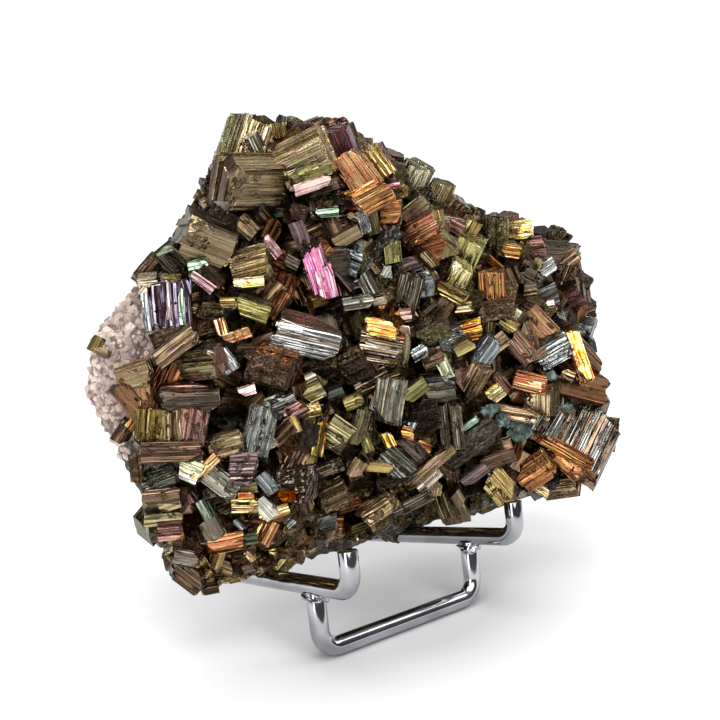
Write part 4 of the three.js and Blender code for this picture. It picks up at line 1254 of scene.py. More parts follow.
def outside_filling(a, u):
    """The crust's edge, the broken lower edge, the granular corner and the crown's left side."""
    crust_edge = a < -35 and 16 < u < 54
    lower_edge = u < 4.5 and a > -26 or u < 10 and a < -16
    crown_side = a < -12 and u > 55 and rim_share(a, u) > 0.88
    return rim_share(a, u) > 0.97 or crust_edge or lower_edge or crown_side


def face_fillers(count, seed):
    rnd = random.Random(seed)
    holes = [(x, y, r + 1) for x, y, r in HOLES]
    listed_rings = [(row[0], row[1], 0.42 * min(row[2], 11)) for row in CRYSTALS if row[2] > 6]
    found = []
    while len(found) < count:
        a, u = rnd.uniform(-44, 66), rnd.uniform(-2, 81)
        near = [(c["at"].x, c["at"].y, FILLERS_APART) for c in found]
        if outside_filling(a, u) or not is_free(a, u, holes + listed_rings + near):
            continue
        size = rnd.uniform(2.8, 5.4)
        sunk = rnd.uniform(1.6, 3.4)
        at = Vector((a, u, front_depth(a, u) + sunk + size / 2))
        sizes = (size * rnd.uniform(0.9, 1.4), size * rnd.uniform(0.85, 1.1), size)
        found.append(loose_crystal(rnd, at, out_of_front(a, u), sizes, sunk=sunk))
    return found


FOOT_FILMS = ("bronze", "brown", "tan", "gold", "olive", "rust")


def foot_fillers(count, seed):
    rnd = random.Random(seed)
    found = []
    while len(found) < count:
        a, u = rnd.uniform(-39, -12), rnd.uniform(-1, 10)
        if rim_share(a, u) > 0.99 or u > 9 + 0.5 * (a + 30) and a < -30:
            continue
        size = rnd.uniform(1.0, 2.3)
        sunk = rnd.uniform(0.8, 7)
        at = Vector((a, u, front_depth(a, u) + sunk + size / 2))
        sizes = (size * rnd.uniform(0.9, 1.5), size, size)
        crystal = loose_crystal(rnd, at, out_of_front(a, u), sizes, sides=(4, 5, 6), grainy=(0, 1))
        crystal["films"] = " ".join(rnd.choice(FOOT_FILMS) for _ in range(4))
        found.append(crystal)
    return found


fillers = face_fillers(360, 9) + foot_fillers(320, 14)
medium = scattered(520, 3.0, 2.2, 4.6, 1.0, 5, on_skin)
medium += scattered(90, 2.4, 1.8, 3.8, 0.8, 41, beside_crust, 200)
tiny = scattered(3200, 1.0, 0.6, 1.8, 0.3, 6, on_skin)
tiny += scattered(1500, 0.6, 0.4, 1.3, 0.2, 12, on_foot, 120)
tiny += scattered(600, 0.9, 0.5, 1.7, 0.3, 42, beside_crust, 120)
print(len(fillers), "fillers,", len(medium), "medium and", len(tiny), "tiny crystals")

# %% [markdown]
# Pyrite grows in parallel. A crystal of middle size gets a neighbour with nearly the same axis, a
# little smaller and set off to one side, so it reads as a bundle with ledges. The largest ones stand
# alone. Everything is joined in two pieces, to keep each piece light.

# %% Plant them all and join them
DETAILED_FROM, BUNDLED_BELOW = 16, 9
rnd = random.Random(11)
planted = []
for i, crystal in enumerate(listed + rim):
    large = crystal["width"] * crystal["length"] > DETAILED_FROM
    family = kinds if large else simple_kinds
    crystal["films"] = crystal["films"] or chance_films(rnd)
    planted.append(plant(crystal, family[(crystal["sides"], i % 4)], rnd))
    if large and max(crystal["length"], crystal["width"]) < BUNDLED_BELOW:
        part = [rnd.uniform(0.45, 0.8), rnd.uniform(0.4, 0.7), rnd.uniform(0.6, 0.9)]
        beside = [rnd.uniform(-0.4, 0.4), rnd.choice((-1, 1)) * rnd.uniform(0.3, 0.6),
                  rnd.uniform(-0.1, 0.25)]
        kind = simple_kinds[(crystal["sides"], (i + 1) % 4)]
        planted.append(plant(crystal, kind, rnd, part, beside, rnd.uniform(-6, 6)))
cluster = join(planted, "pyrite_crystals")
print("crystals:", len(planted), "with", triangles(cluster), "triangles")
print("moved", keep_clear(cluster, 0.1), "points off the wires")
behind = join([plant(c, simple_kinds[(c["sides"], i % 4)], rnd) for i, c in enumerate(fillers + medium)],
              "pyrite_crystals_behind")
print("half hidden crystals:", triangles(behind), "triangles")
keep_clear(behind, 0.1)

# %% [markdown]
# The tiny crystals are only one or two millimetres long, so a block with two cut edges is enough.
# The helper blocks have done their work and are deleted.

# %% Tiny crystals
bpy.ops.object.select_all(action="DESELECT")
bpy.ops.mesh.primitive_cube_add(size=2)
grain = bpy.context.object
bpy.ops.object.mode_set(mode="EDIT")
cleave((0, 0.7, 0.7), (0, 1, 1))
cleave((0.85, 0.6, -0.6), (1, 0.6, -0.5))
bpy.ops.object.mode_set(mode="OBJECT")
settle_order(grain)
planted = [plant(c, grain, rnd) for c in tiny]
grains = join(planted, "pyrite_grains")
keep_clear(grains, 0.1)
for helper in [grain, *kinds.values(), *simple_kinds.values()]:
    bpy.data.objects.remove(helper)
print("tiny crystals:", len(grains.data.polygons), "faces")

# %% [markdown]
# The pale crust is a sheet of grainy lumps, a few millimetres across, that grew over the back of
# the pyrite and round its left edge. It is a second ball, pulled to its outline and roughened with
# two sizes of swelling. Separate lumps follow in a later step.

# %% The pale crust
def crust_place(share, mix, angle):
    reach = crust_radius(angle) * share
    a, u = CRUST_MIDDLE[0] + reach * math.cos(angle), CRUST_MIDDLE[1] + reach * math.sin(angle)
    front = 10 + 5 * share ** 4
    back = back_depth(a) + 1 - 12 * share ** 5
    return stone_point(a, u, front + (back - front) * mix)


CRUST_RINGS = [(0.4, 0), (0.75, 0), (0.92, 0.08), (0.99, 0.25), (1, 0.42), (1, 0.58), (0.97, 0.75),
               (0.9, 0.9), (0.75, 1), (0.5, 1), (0.25, 1)]
crust = shaped_ball("druse_crust", 44, CRUST_RINGS, crust_place)
finish_with(crust, "SUBSURF", levels=3, render_levels=3)
finish_with(crust, "DISPLACE", texture=grit("swells", "CLOUDS", 8, noise_depth=2), strength=3.0 * MM,
            mid_level=0.6, texture_coords="GLOBAL")
finish_with(crust, "DISPLACE", texture=grit("knobs", "VORONOI", 2.6, distance_metric="DISTANCE"),
            strength=-2.4 * MM, mid_level=0.35, texture_coords="GLOBAL")
keep_clear(crust)
print("crust:", len(crust.data.polygons), "faces")

# %% [markdown]
# Both the teal mineral and the crust are made of lumps. A lump is a small ball whose points are pushed
# in and out by noise. The ball is modelled once, and every lump is a copy with its own mesh.

# %% A helper for lumps
def ball_pattern(subdivisions):
    bpy.ops.object.select_all(action="DESELECT")
    bpy.ops.mesh.primitive_ico_sphere_add(subdivisions=subdivisions, radius=1)
    return bpy.context.object


def swollen(rnd, ball, strength, per_radius):
    """How far each point of a ball is pushed out, as shares of its radius."""
    shift = Vector((rnd.uniform(0, 90), rnd.uniform(0, 90), 0))
    return np.array([1 + strength * noise.noise(Vector(v) * per_radius + shift) for v in ball])[:, None]


def copy_moved(pattern, points):
    mesh = pattern.data.copy()
    put_points(mesh, points)
    return add_object("lump", mesh)


# %% [markdown]
# Low on the right of the face, a matt teal mineral sits between the crystals in small groups of lumps.

# %% Teal lumps
TEAL_GROUPS = [  # across, up, reach, number of lumps, how far they stand proud
    (25.1, 21.2, 1.8, 26, 0.4), (31.8, 17, 2.8, 60, 1.2), (28.5, 19.3, 1.8, 30, 0.6),
    (40.4, 21.7, 1.6, 20, 0.4), (45.2, 19.5, 1.2, 14, 1.2), (42.1, 26.3, 1.3, 16, 0.6),
]


def teal_lump_group(rnd, pattern, a, u, reach, count, proud):
    ball = points_of(pattern.data)
    for _ in range(count):
        turn, far = rnd.uniform(0, 2 * math.pi), reach * rnd.random() ** 0.6
        x, y = a + far * math.cos(turn), u + 0.6 * far * math.sin(turn)
        size = rnd.uniform(0.3, 0.75)
        swell = swollen(rnd, ball, 0.8, 1.9)
        centre = np.array(stone_point(x, y, front_depth(x, y) + 1.2 - proud + rnd.uniform(0, 1)))
        yield copy_moved(pattern, centre + ball * swell * size * MM)


rnd = random.Random(8)
pattern = ball_pattern(2)
made = [lump for group in TEAL_GROUPS for lump in teal_lump_group(rnd, pattern, *group)]
teal_lumps = join(made, "teal_lumps")
bpy.data.objects.remove(pattern)
keep_clear(teal_lumps)
print("teal lumps:", len(teal_lumps.data.polygons), "faces")

# %% [markdown]
# The crust is crowded with lumps. At the left edge, where it is seen close by, they are small and
# dense. On the back they are twice as large and fewer.

# %% Lumps on the crust
SEEN_EDGE, SKIPPED_BEHIND, LARGER_BEHIND = -24, 0.78, 2.0


def crust_lumps(count, seed):
    rnd = random.Random(seed)
    pattern = ball_pattern(1)
    ball = points_of(pattern.data)
    faces = crust.data.polygons
    made = []
    while len(made) < count:
        p = faces[rnd.randrange(len(faces))]
        near_edge = stone_coordinates(p.center)[0] < SEEN_EDGE
        if not near_edge and rnd.random() < SKIPPED_BEHIND:
            continue
        size = (0.34 + 0.6 * rnd.random() ** 2) * (1 if near_edge else LARGER_BEHIND)
        swell = swollen(rnd, ball, 0.6, 2.1)
        centre = np.array(p.center) - np.array(p.normal) * size * 0.25 * MM
        stretch = np.array([rnd.uniform(0.8, 1.2) for _ in range(3)])
        lump = copy_moved(pattern, centre + ball * swell * stretch * size * MM)
        give_values(lump.data, "lump", [rnd.uniform(0.1, 1)] * len(lump.data.polygons))
        made.append(lump)
    bpy.data.objects.remove(pattern)
    return made


lumps_of_crust = join(crust_lumps(4600, 31), "druse_lumps")
keep_clear(lumps_of_crust)
print("lumps on the crust:", len(lumps_of_crust.data.polygons), "faces")

# %% [markdown]
# The easel is bent from chrome wire of one thickness. A curve with a round bevel is how a wire is
# drawn by hand: its path is typed in, the bends are arcs, and the curve is then made a mesh. The cut
# tips get a small chamfer.

# %% The easel's wires
def wire_piece(name, path):
    bpy.ops.object.select_all(action="DESELECT")
    bpy.ops.curve.primitive_bezier_curve_add()
    curve = bpy.context.object
    curve.name = name
    curve.data.splines.clear()
    line = curve.data.splines.new("POLY")
    line.points.add(len(path) - 1)
    for point, stop in zip(line.points, path):
        point.co = (*stand_point(*stop), 1)
    curve.data.bevel_depth = WIRE_RADIUS * MM
    curve.data.bevel_resolution = 6
    curve.data.use_fill_caps = True
    bpy.ops.object.convert(target="MESH")
    made = bpy.context.object
    made.data.name = name
    bpy.ops.object.mode_set(mode="EDIT")
    bpy.ops.mesh.select_all(action="SELECT")
    bpy.ops.mesh.remove_doubles(threshold=1e-6)
    bpy.ops.mesh.normals_make_consistent(inside=False)
    bpy.ops.object.mode_set(mode="OBJECT")
    finish_with(made, "BEVEL", width=0.22 * MM, segments=2, limit_method="ANGLE",
                angle_limit=math.radians(50))
    bpy.ops.object.shade_smooth_by_angle(angle=math.radians(35))
    return made


wire_frame = wire_piece("easel_wire_frame", frame_path)
wire_leg = wire_piece("easel_wire_leg", leg_path)
print("wires:", len(wire_frame.data.polygons), len(wire_leg.data.polygons), "faces")

# %% [markdown]
# Where the leg meets the arms, the weld left small lumps, and a few beads of spatter sit on the
# wires. Each lump starts as a ball, is flattened and roughened, and is pressed into the joint.

# %% Weld lumps and spatter
def blob(name, place, sizes, rough, seed):
    """A ball of the given half sizes at a place on the stand, roughened by noise."""
    bpy.ops.object.select_all(action="DESELECT")
    bpy.ops.mesh.primitive_ico_sphere_add(subdivisions=4, radius=1, location=(0, 0, 0))
    made = bpy.context.object
    made.name = name
    for v in made.data.vertices:
        swell = 1 + rough * noise.noise(v.co * 1.7 + Vector((seed, 0, 0)))
        v.co = stand_point(*place) + Vector([c * s * swell * MM for c, s in zip(v.co, sizes)])
    bpy.ops.object.shade_smooth()
    return made


lumps = []
for side in (-1, 1):
    arm = arm_point(side, WELD_Y)
    joint, beside = side * BAR_HALF, side * (BAR_HALF - 0.9)
    lumps.append(blob("weld", (joint, WELD_Y, arm.z - 1.75), (1.75, 2.3, 1.0), 0.5, 3 + side))
    lumps.append(blob("weld", (beside, WELD_Y - 1.0, arm.z - 2.2), (0.8, 0.9, 0.7), 0.5, 9 + side))
    lumps.append(blob("spatter", (joint - 0.2, WELD_Y - 1.5, arm.z - 1.2), (0.45, 0.5, 0.55), 0.4, 5 + side))
lumps.append(blob("spatter", (9.5, -0.7, 2.9), (0.5, 0.45, 0.4), 0.3, 21))
welds = join(lumps, "easel_welds")
print("welds:", len(welds.data.polygons), "faces")

# %% [markdown]
# ## Finishes
# The tarnish is one effect that all the pyrite uses, so it is a node group. It reads the map that
# runs along the striations and gives a colour, a roughness and a height. The metal shader itself
# stays in each material.

# %% A small helper for wiring nodes
class Board:
    """Adds nodes to a tree and links them."""

    def __init__(self, tree):
        self.tree = tree

    def add(self, kind, values=None, **links):
        node = self.tree.nodes.new(kind)
        for key, value in (values or {}).items():
            setattr(node, key, value)
        for key, value in links.items():
            socket = self.socket(node, key)
            if isinstance(value, bpy.types.NodeSocket):
                self.tree.links.new(value, socket)
            else:
                socket.default_value = value
        return node

    @staticmethod
    def socket(node, key):
        if key.startswith("in") and key[2:].isdigit():
            return node.inputs[int(key[2:])]
        return node.inputs[key.replace("_", " ")]

    def math(self, operation, a, b):
        return self.add("ShaderNodeMath", {"operation": operation}, in0=a, in1=b).outputs[0]

    def mix(self, factor, a, b, blend="MIX"):
        node = self.add("ShaderNodeMix", {"data_type": "RGBA", "blend_type": blend}, in0=factor, in6=a, in7=b)
        return node.outputs[2]

    def ramp(self, value, stops):
        node = self.tree.nodes.new("ShaderNodeValToRGB")
        ramp = node.color_ramp
        while len(ramp.elements) > 1:
            ramp.elements.remove(ramp.elements[-1])
        for i, (place, colour) in enumerate(stops):
            e = ramp.elements[0] if i == 0 else ramp.elements.new(place)
            e.position = place
            e.color = colour if len(colour) == 4 else (*colour, 1)
        self.tree.links.new(value, node.inputs[0])
        return node.outputs[0]

    def noise(self, vector, scale, detail=3.0, rough=0.55):
        node = self.tree.nodes.new("ShaderNodeTexNoise")
        self.tree.links.new(vector, node.inputs["Vector"])
        node.inputs["Scale"].default_value = scale
        node.inputs["Detail"].default_value = detail
        node.inputs["Roughness"].default_value = rough
        return node.outputs["Fac"]

    def bump(self, shader, height, strength, distance):
        """Turns a height into the shader's normal. The distance is what a height of 1 stands for."""
        made = self.add("ShaderNodeBump", Strength=strength, Distance=distance)
        self.tree.links.new(height, made.inputs["Height"])
        self.tree.links.new(made.outputs[0], shader.inputs["Normal"])

    def vector(self, operation, a, b=(0, 0, 0)):
        """Vector arithmetic. A length, a distance or a dot product gives a number."""
        node = self.add("ShaderNodeVectorMath", {"operation": operation}, in0=a, in1=b)
        return node.outputs["Value" if operation in ("LENGTH", "DISTANCE", "DOT_PRODUCT") else "Vector"]

    def named(self, attribute, output="Fac"):
        """An attribute of the piece, read by its name."""
        return self.add("ShaderNodeAttribute", {"attribute_name": attribute}).outputs[output]

    def plus(self, a, b):
        return self.math("ADD", a, b)

    def minus(self, a, b):
        return self.math("SUBTRACT", a, b)

    def times(self, a, b):
        return self.math("MULTIPLY", a, b)


def dress(material, *pieces):
    for piece in pieces:
        piece.data.materials.clear()
        piece.data.materials.append(material)


def new_material(name):
    material = bpy.data.materials.new(name)
    material.use_nodes = True
    material.node_tree.nodes.clear()
    board = Board(material.node_tree)
    output = board.add("ShaderNodeOutputMaterial")
    shader = board.add("ShaderNodeBsdfPrincipled")
    board.tree.links.new(shader.outputs[0], output.inputs[0])
    return material, board, shader


def new_group(name, inputs, outputs):
    group = bpy.data.node_groups.new(name, "ShaderNodeTree")
    for label, kind in inputs:
        group.interface.new_socket(label, in_out="INPUT", socket_type=kind)
    for label, kind in outputs:
        group.interface.new_socket(label, in_out="OUTPUT", socket_type=kind)
    board = Board(group)
    return group, board, board.add("NodeGroupInput").outputs, board.add("NodeGroupOutput").inputs


# %% [markdown]
# The tarnish has two grains. Along the striations, bands and long thin plates are each tipped by a
# slope of their own, so each one mirrors another part of the room. On broken patches, small square
# plates take their place. Soft noise alone would look like cloth; flat tipped patches look like metal.

# %% The tarnish group: bands and plates
COLOUR, NUMBER, VECTOR = "NodeSocketColor", "NodeSocketFloat", "NodeSocketVector"
tarnish, board, given, result = new_group(
    "tarnish",
    [("Map", VECTOR), ("Film", COLOUR), ("Streak", COLOUR), ("Gloss", NUMBER), ("Lined", NUMBER),
     ("Grainy", NUMBER)],
    [("Color", COLOUR), ("Roughness", NUMBER), ("Height", NUMBER)],
)
apart = board.add("ShaderNodeSeparateXYZ", Vector=given["Map"]).outputs
waver = board.noise(given["Map"], 0.25, 2, 0.5)
over = board.plus(apart["Y"], board.times(waver, 0.7))
patches = board.noise(given["Map"], 0.45, 3, 0.6)


def bands(per_mm, steepness):
    """Flat bands along the crystal, each tipped by its own slope. Gives height, two random values."""
    cells = board.add("ShaderNodeTexVoronoi", {"voronoi_dimensions": "1D"}, W=over, Scale=per_mm).outputs
    mixed = board.add("ShaderNodeSeparateColor", Color=cells["Color"]).outputs
    offset = board.minus(over, cells["W"])
    slope = board.times(board.minus(mixed["Red"], 0.5), steepness)
    return board.times(offset, slope), mixed["Green"], mixed["Blue"]


def plates(vector, along_per_mm, over_per_mm, steepness):
    """Thin plates that overlap, each tipped by its own slope."""
    squeezed = board.vector("MULTIPLY", vector, (along_per_mm, over_per_mm, 1))
    cells = board.add("ShaderNodeTexVoronoi", {"voronoi_dimensions": "2D"}, Vector=squeezed, Scale=1.0)
    cells = cells.outputs
    offset = board.vector("SUBTRACT", squeezed, cells["Position"])
    slope = board.vector("SUBTRACT", cells["Color"], (0.5, 0.5, 0.5))
    tipped = board.vector("DOT_PRODUCT", offset, slope)
    shade = board.add("ShaderNodeSeparateColor", Color=cells["Color"]).outputs["Blue"]
    return board.times(tipped, steepness / over_per_mm), shade


def centred(value, amount):
    """A random value between 0 and 1, moved to either side of nothing and made stronger or weaker."""
    return board.times(board.minus(value, 0.5), amount)


wide_height, wide_a, wide_b = bands(1.0, 0.5)
fine_height, fine_a, fine_b = bands(3.2, 0.8)
plate_height, plate_a = plates(given["Map"], 0.2, 2.4, 0.7)
cell_height, cell_a = plates(given["Map"], 2.2, 2.2, 1.8)
print("bands and plates:", len(tarnish.nodes), "nodes")

# %% [markdown]
# The height adds the bands, the plates and thin notches between the widest bands. Where a face is
# grainy or pitted, the square plates replace them. Dust roughens the dull faces a little.

# %% The tarnish group: height
lumpy = board.noise(given["Map"], 1.1, 4, 0.65)
cell_height = board.plus(board.times(cell_height, 0.7), board.times(lumpy, 0.9))
pitted = board.ramp(board.noise(given["Map"], 0.28, 4, 0.6), [(0.58, (0, 0, 0)), (0.62, (1, 1, 1))])
pitted = board.times(pitted, board.minus(1.0, board.times(given["Gloss"], 0.7)))
grainy = board.math("MAXIMUM", given["Grainy"], pitted)
smooth = board.minus(1.0, grainy)
to_edge = {"voronoi_dimensions": "1D", "feature": "DISTANCE_TO_EDGE"}
edge = board.add("ShaderNodeTexVoronoi", to_edge, W=over, Scale=1.0).outputs["Distance"]
notch = board.ramp(edge, [(0.02, (1, 1, 1)), (0.07, (0, 0, 0))])
ridges = board.plus(board.plus(wide_height, fine_height), plate_height)
ridges = board.times(board.minus(ridges, board.times(notch, 0.06)), given["Lined"])
height = board.plus(board.times(ridges, smooth), board.times(cell_height, grainy))
dull = board.minus(1.0, given["Gloss"])
dust = board.times(board.noise(given["Map"], 4.5, 3, 0.7), 0.02)
board.tree.links.new(board.plus(height, board.times(dust, dull)), result["Height"])

# %% [markdown]
# The colour follows the same bands. Where they stand high, the streak's colour shows, and elsewhere
# the film's. Each band turns the hue a little, as films of different thickness do. Some fine bands
# and the notches are painted darker, as painted shade in grooves, and dull faces have brown stains.

# %% The tarnish group: colour and roughness
lines = board.plus(board.times(fine_a, 0.45), board.times(plate_a, 0.25))
lines = board.plus(lines, board.times(wide_a, 0.3))
lines = board.plus(centred(lines, given["Lined"]), 0.5)
lines = board.plus(lines, centred(patches, 0.5))
specks = board.plus(board.times(cell_a, 0.6), 0.02)
crest = board.plus(board.times(lines, smooth), board.times(specks, grainy))
lit = board.ramp(crest, [(0.45, (0, 0, 0)), (0.58, (1, 1, 1))])
coloured = board.mix(lit, given["Film"], given["Streak"])
hue_turn = board.plus(centred(patches, 0.15), 0.5)
hue_turn = board.plus(hue_turn, board.times(centred(wide_b, 0.07), given["Gloss"]))
turned = board.add("ShaderNodeHueSaturation", Hue=hue_turn, Saturation=1.2, Value=1.0, Color=coloured)
turned = turned.outputs[0]
# Painted shade: some fine bands and the notches between wide bands are darkened like shaded grooves.
groove_shade = board.ramp(fine_b, [(0.15, (0.34, 0.26, 0.19)), (0.4, (1, 1, 1))])
groove_shade = board.mix(notch, groove_shade, (0.16, 0.11, 0.07, 1))
darkened = board.mix(given["Lined"], turned, board.mix(1.0, turned, groove_shade, "MULTIPLY"))
stain = board.ramp(patches, [(0.4, (1, 1, 1)), (0.62, (0.46, 0.36, 0.26))])
stained = board.mix(1.0, darkened, stain, "MULTIPLY")
board.tree.links.new(board.mix(dull, darkened, stained), result["Color"])
rough = board.plus(board.plus(0.08, board.times(dull, 0.12)), board.times(patches, 0.16))
board.tree.links.new(rough, result["Roughness"])
print("tarnish group:", len(tarnish.nodes), "nodes")

# %% [markdown]
# One material serves all the crystals. It hands the map and the painted attributes to the group, and
# the group's colour, roughness and height go to a metal shader.

# %% Pyrite finish
crystal_finish, board, shader = new_material("striated_pyrite")
look = board.add(
    "ShaderNodeGroup", {"node_tree": tarnish},
    Map=board.add("ShaderNodeUVMap", {"uv_map": "Striations"}).outputs[0],
    Film=board.named("film", "Color"), Streak=board.named("streak", "Color"),
    Gloss=board.named("gloss"), Lined=board.named("lined"), Grainy=board.named("grainy"),
).outputs
links = crystal_finish.node_tree.links
links.new(look["Color"], shader.inputs["Base Color"])
links.new(look["Roughness"], shader.inputs["Roughness"])
shader.inputs["Metallic"].default_value = 1.0
board.bump(shader, look["Height"], 1.0, MM)
dress(crystal_finish, cluster, behind, grains)
print("crystals dressed")

# %% [markdown]
# Between the crystals, the massive pyrite is stained teal in a few places, and its broken lower edge
# is bare and paler. Both are kept as attributes of its points, worked out from where the points lie.

# %% Where the massive pyrite is stained or bare
STAINS = [(18, 20, 4.0), (24, 17, 4.0), (30, 17, 4.5), (27, 20, 3.0), (45, 27, 3.0), (43, 22, 3.0)]
STAINED_DEPTH = 16
places = (points_of(massive.data) - np.array(STAND)) / MM - np.array(FOOT)
massive_a, massive_u, massive_d = (places @ np.array(v) for v in (ACROSS, UP, DEEP))
stain = np.zeros(len(places))
for a, u, r in STAINS:
    stain = np.maximum(stain, np.exp(-((massive_a - a) ** 2 + (massive_u - u) ** 2) / r ** 2))
stain *= massive_d < STAINED_DEPTH
bare = [ease((7 - u) / 3) * ease((13 - d) / 4) for u, d in zip(massive_u, massive_d)]
for label, values in (("stain", stain), ("bare", bare)):
    kept = massive.data.attributes.new(label, "FLOAT", "POINT")
    kept.data.foreach_set("value", np.asarray(values, np.float32))
print("stained points:", int((stain > 0.5).sum()), "bare points:", int((np.array(bare) > 0.5).sum()))

# %% [markdown]
# The massive pyrite is grainy and only partly metallic. Its ground is painted near black, partly its own
# dark colour and partly painted shade for the holes between the crystals. Broad blotches of it are mossy
# green.

# %% Massive pyrite finish
massive_finish, board, shader = new_material("massive_pyrite")
links = massive_finish.node_tree.links
place = board.add("ShaderNodeTexCoord").outputs["Object"]
speckle = board.noise(place, 900, 4, 0.7)
blotch = board.noise(place, 130, 3, 0.6)
cells = board.add("ShaderNodeTexVoronoi", Vector=place, Scale=900.0)
# Partly painted shade: the near black ground stands for the shade in the holes between the crystals.
GROUND_AND_HOLE_SHADE = [(0.3, (0.012, 0.008, 0.005)), (0.52, (0.05, 0.034, 0.02)), (0.66, (0.30, 0.22, 0.13))]
MOSS = [(0.3, (0.03, 0.033, 0.022)), (0.52, (0.08, 0.088, 0.062)), (0.66, (0.22, 0.23, 0.17))]
BARE_BROWN = [(0.3, (0.05, 0.035, 0.022)), (0.5, (0.22, 0.165, 0.10)), (0.64, (0.55, 0.44, 0.29))]
TEAL_STAIN = [(0.3, (0.06, 0.12, 0.11)), (0.55, (0.20, 0.34, 0.31)), (0.7, (0.42, 0.58, 0.54))]
mossy = board.ramp(blotch, [(0.45, (0, 0, 0)), (0.62, (0.7, 0.7, 0.7))])
greenish = board.mix(mossy, board.ramp(speckle, GROUND_AND_HOLE_SHADE), board.ramp(speckle, MOSS))
greenish = board.mix(board.named("bare"), greenish, board.ramp(speckle, BARE_BROWN))
stained = board.ramp(board.named("stain"), [(0.25, (0, 0, 0)), (0.5, (1, 1, 1))])
links.new(board.mix(stained, greenish, board.ramp(speckle, TEAL_STAIN)), shader.inputs["Base Color"])
links.new(board.minus(0.75, board.times(stained, 0.7)), shader.inputs["Metallic"])
links.new(board.plus(0.3, board.times(blotch, 0.4)), shader.inputs["Roughness"])
board.bump(shader, board.plus(speckle, board.times(cells.outputs["Distance"], 0.8)), 1.0, 0.5 * MM)
dress(massive_finish, massive)
print("massive pyrite dressed")

# %% [markdown]
# The teal mineral is matt and powdery. One noise gives its colour and its bump, so it is darker in the
# hollows, as painted shade, and paler on its lumps.

# %% Teal finish
# Painted shade: the low end of this ramp falls where the bump is lowest.
TEAL = [(0.35, (0.012, 0.02, 0.017)), (0.5, (0.065, 0.10, 0.088)), (0.65, (0.21, 0.29, 0.26))]
teal_finish, board, shader = new_material("teal_mineral")
links = teal_finish.node_tree.links
place = board.add("ShaderNodeTexCoord").outputs["Object"]
cloud = board.noise(place, 500, 4, 0.65)
links.new(board.ramp(cloud, TEAL), shader.inputs["Base Color"])
shader.inputs["Roughness"].default_value = 0.55
board.bump(shader, cloud, 1.0, 0.4 * MM)
dress(teal_finish, teal_lumps)
print("teal lumps dressed")

# %% [markdown]
# The crust is a dull, slightly translucent mineral, pinkish grey and sugary. Every lump has a tone
# of its own. The skin between the lumps, which has none, is painted darkest, as painted shade in the gaps.

# %% Crust finish
CRUST_TONES = [(0.36, (0.36, 0.275, 0.245)), (0.5, (0.54, 0.445, 0.41)), (0.64, (0.68, 0.60, 0.555))]
SUGAR_TONES = [(0.35, (0.5, 0.42, 0.4)), (0.65, (1, 0.97, 0.95))]
# Painted shade: the crust's skin has no lump value, reads 0 and is darkened most.
LUMP_TONES_AND_GAP_SHADE = [(0, (0.40, 0.35, 0.33)), (0.1, (0.66, 0.60, 0.58)), (0.8, (1.22, 1.14, 1.08)),
              (1, (1.4, 1.35, 1.3))]
crust_finish, board, shader = new_material("pale_druse")
links = crust_finish.node_tree.links
place = board.add("ShaderNodeTexCoord").outputs["Object"]
cloud = board.noise(place, 90, 4, 0.6)
sugar = board.noise(place, 1400, 3, 0.6)
tone = board.mix(0.35, board.ramp(cloud, CRUST_TONES), board.ramp(sugar, SUGAR_TONES), "MULTIPLY")
tone = board.mix(1.0, tone, board.ramp(board.named("lump"), LUMP_TONES_AND_GAP_SHADE), "MULTIPLY")
links.new(tone, shader.inputs["Base Color"])
links.new(board.plus(0.35, board.times(cloud, 0.35)), shader.inputs["Roughness"])
shader.inputs["Subsurface Weight"].default_value = 0.15
shader.inputs["Subsurface Radius"].default_value = (1.0, 0.7, 0.6)
shader.inputs["Subsurface Scale"].default_value = 0.6 * MM
board.bump(shader, sugar, 0.9, 0.6 * MM)
dress(crust_finish, crust, lumps_of_crust)
print("crust dressed")

# %% [markdown]
# Chrome is a clear mirror with a faint blue cast. Soft smears and small specks keep it from looking
# perfect.

# %% Chrome finish
chrome_finish, board, shader = new_material("chromed_wire")
links = chrome_finish.node_tree.links
place = board.add("ShaderNodeTexCoord").outputs["Object"]
specks = board.noise(place, 700, 3, 0.6)
smear = board.noise(place, 120, 3, 0.5)
chrome = board.ramp(smear, [(0.3, (0.29, 0.295, 0.31)), (0.6, (0.44, 0.445, 0.465))])
links.new(chrome, shader.inputs["Base Color"])
links.new(board.plus(0.05, board.times(smear, 0.1)), shader.inputs["Roughness"])
shader.inputs["Metallic"].default_value = 1.0
board.bump(shader, specks, 0.25, 0.05 * MM)
dress(chrome_finish, wire_frame, wire_leg, welds)
print("easel dressed")

# %% [markdown]
# Every piece now rides on one body, and the measured solid that it stands for is hidden. The whole
# object is one body.

# %% Tie the pieces to the frame
for piece, node, slot in (
    (cluster, "pyrite_cluster", "pyrite"),
    (massive, "pyrite_cluster", "pyrite"),
    (behind, "pyrite_cluster", "pyrite"),
    (grains, "pyrite_cluster", "pyrite"),
    (teal_lumps, "pyrite_cluster", "pyrite"),
    (crust, "pale_druse", "druse"),
    (lumps_of_crust, "pale_druse", "druse"),
    (wire_frame, "easel_frame", "easel_wire"),
    (wire_leg, "easel_front_leg", "easel_wire"),
    (welds, "easel_front_leg", "easel_wire"),
):
    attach(piece, "root")
    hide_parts(node)
print("pieces tied")

# %% [markdown]
# The table is a plain white sheet. It glows a little, so that it is white wherever no shadow falls.
# Close round the easel the glow fades to nothing, in an oval that is twice as wide as it is deep.
# That fade is a painted shadow of the stone, which hangs over that place.

# %% Table
SHADOW_POOL_MIDDLE, SHADOW_POOL_SQUEEZE = (4, 0, 0), (0.5, 1, 1)
GLOW_AND_PAINTED_SHADOW = [(0.008, (0.0, 0.0, 0.004)), (0.03, (0.8, 0.8, 0.8)), (0.055, (1, 1, 1))]
GLOW_STRENGTH = 0.68

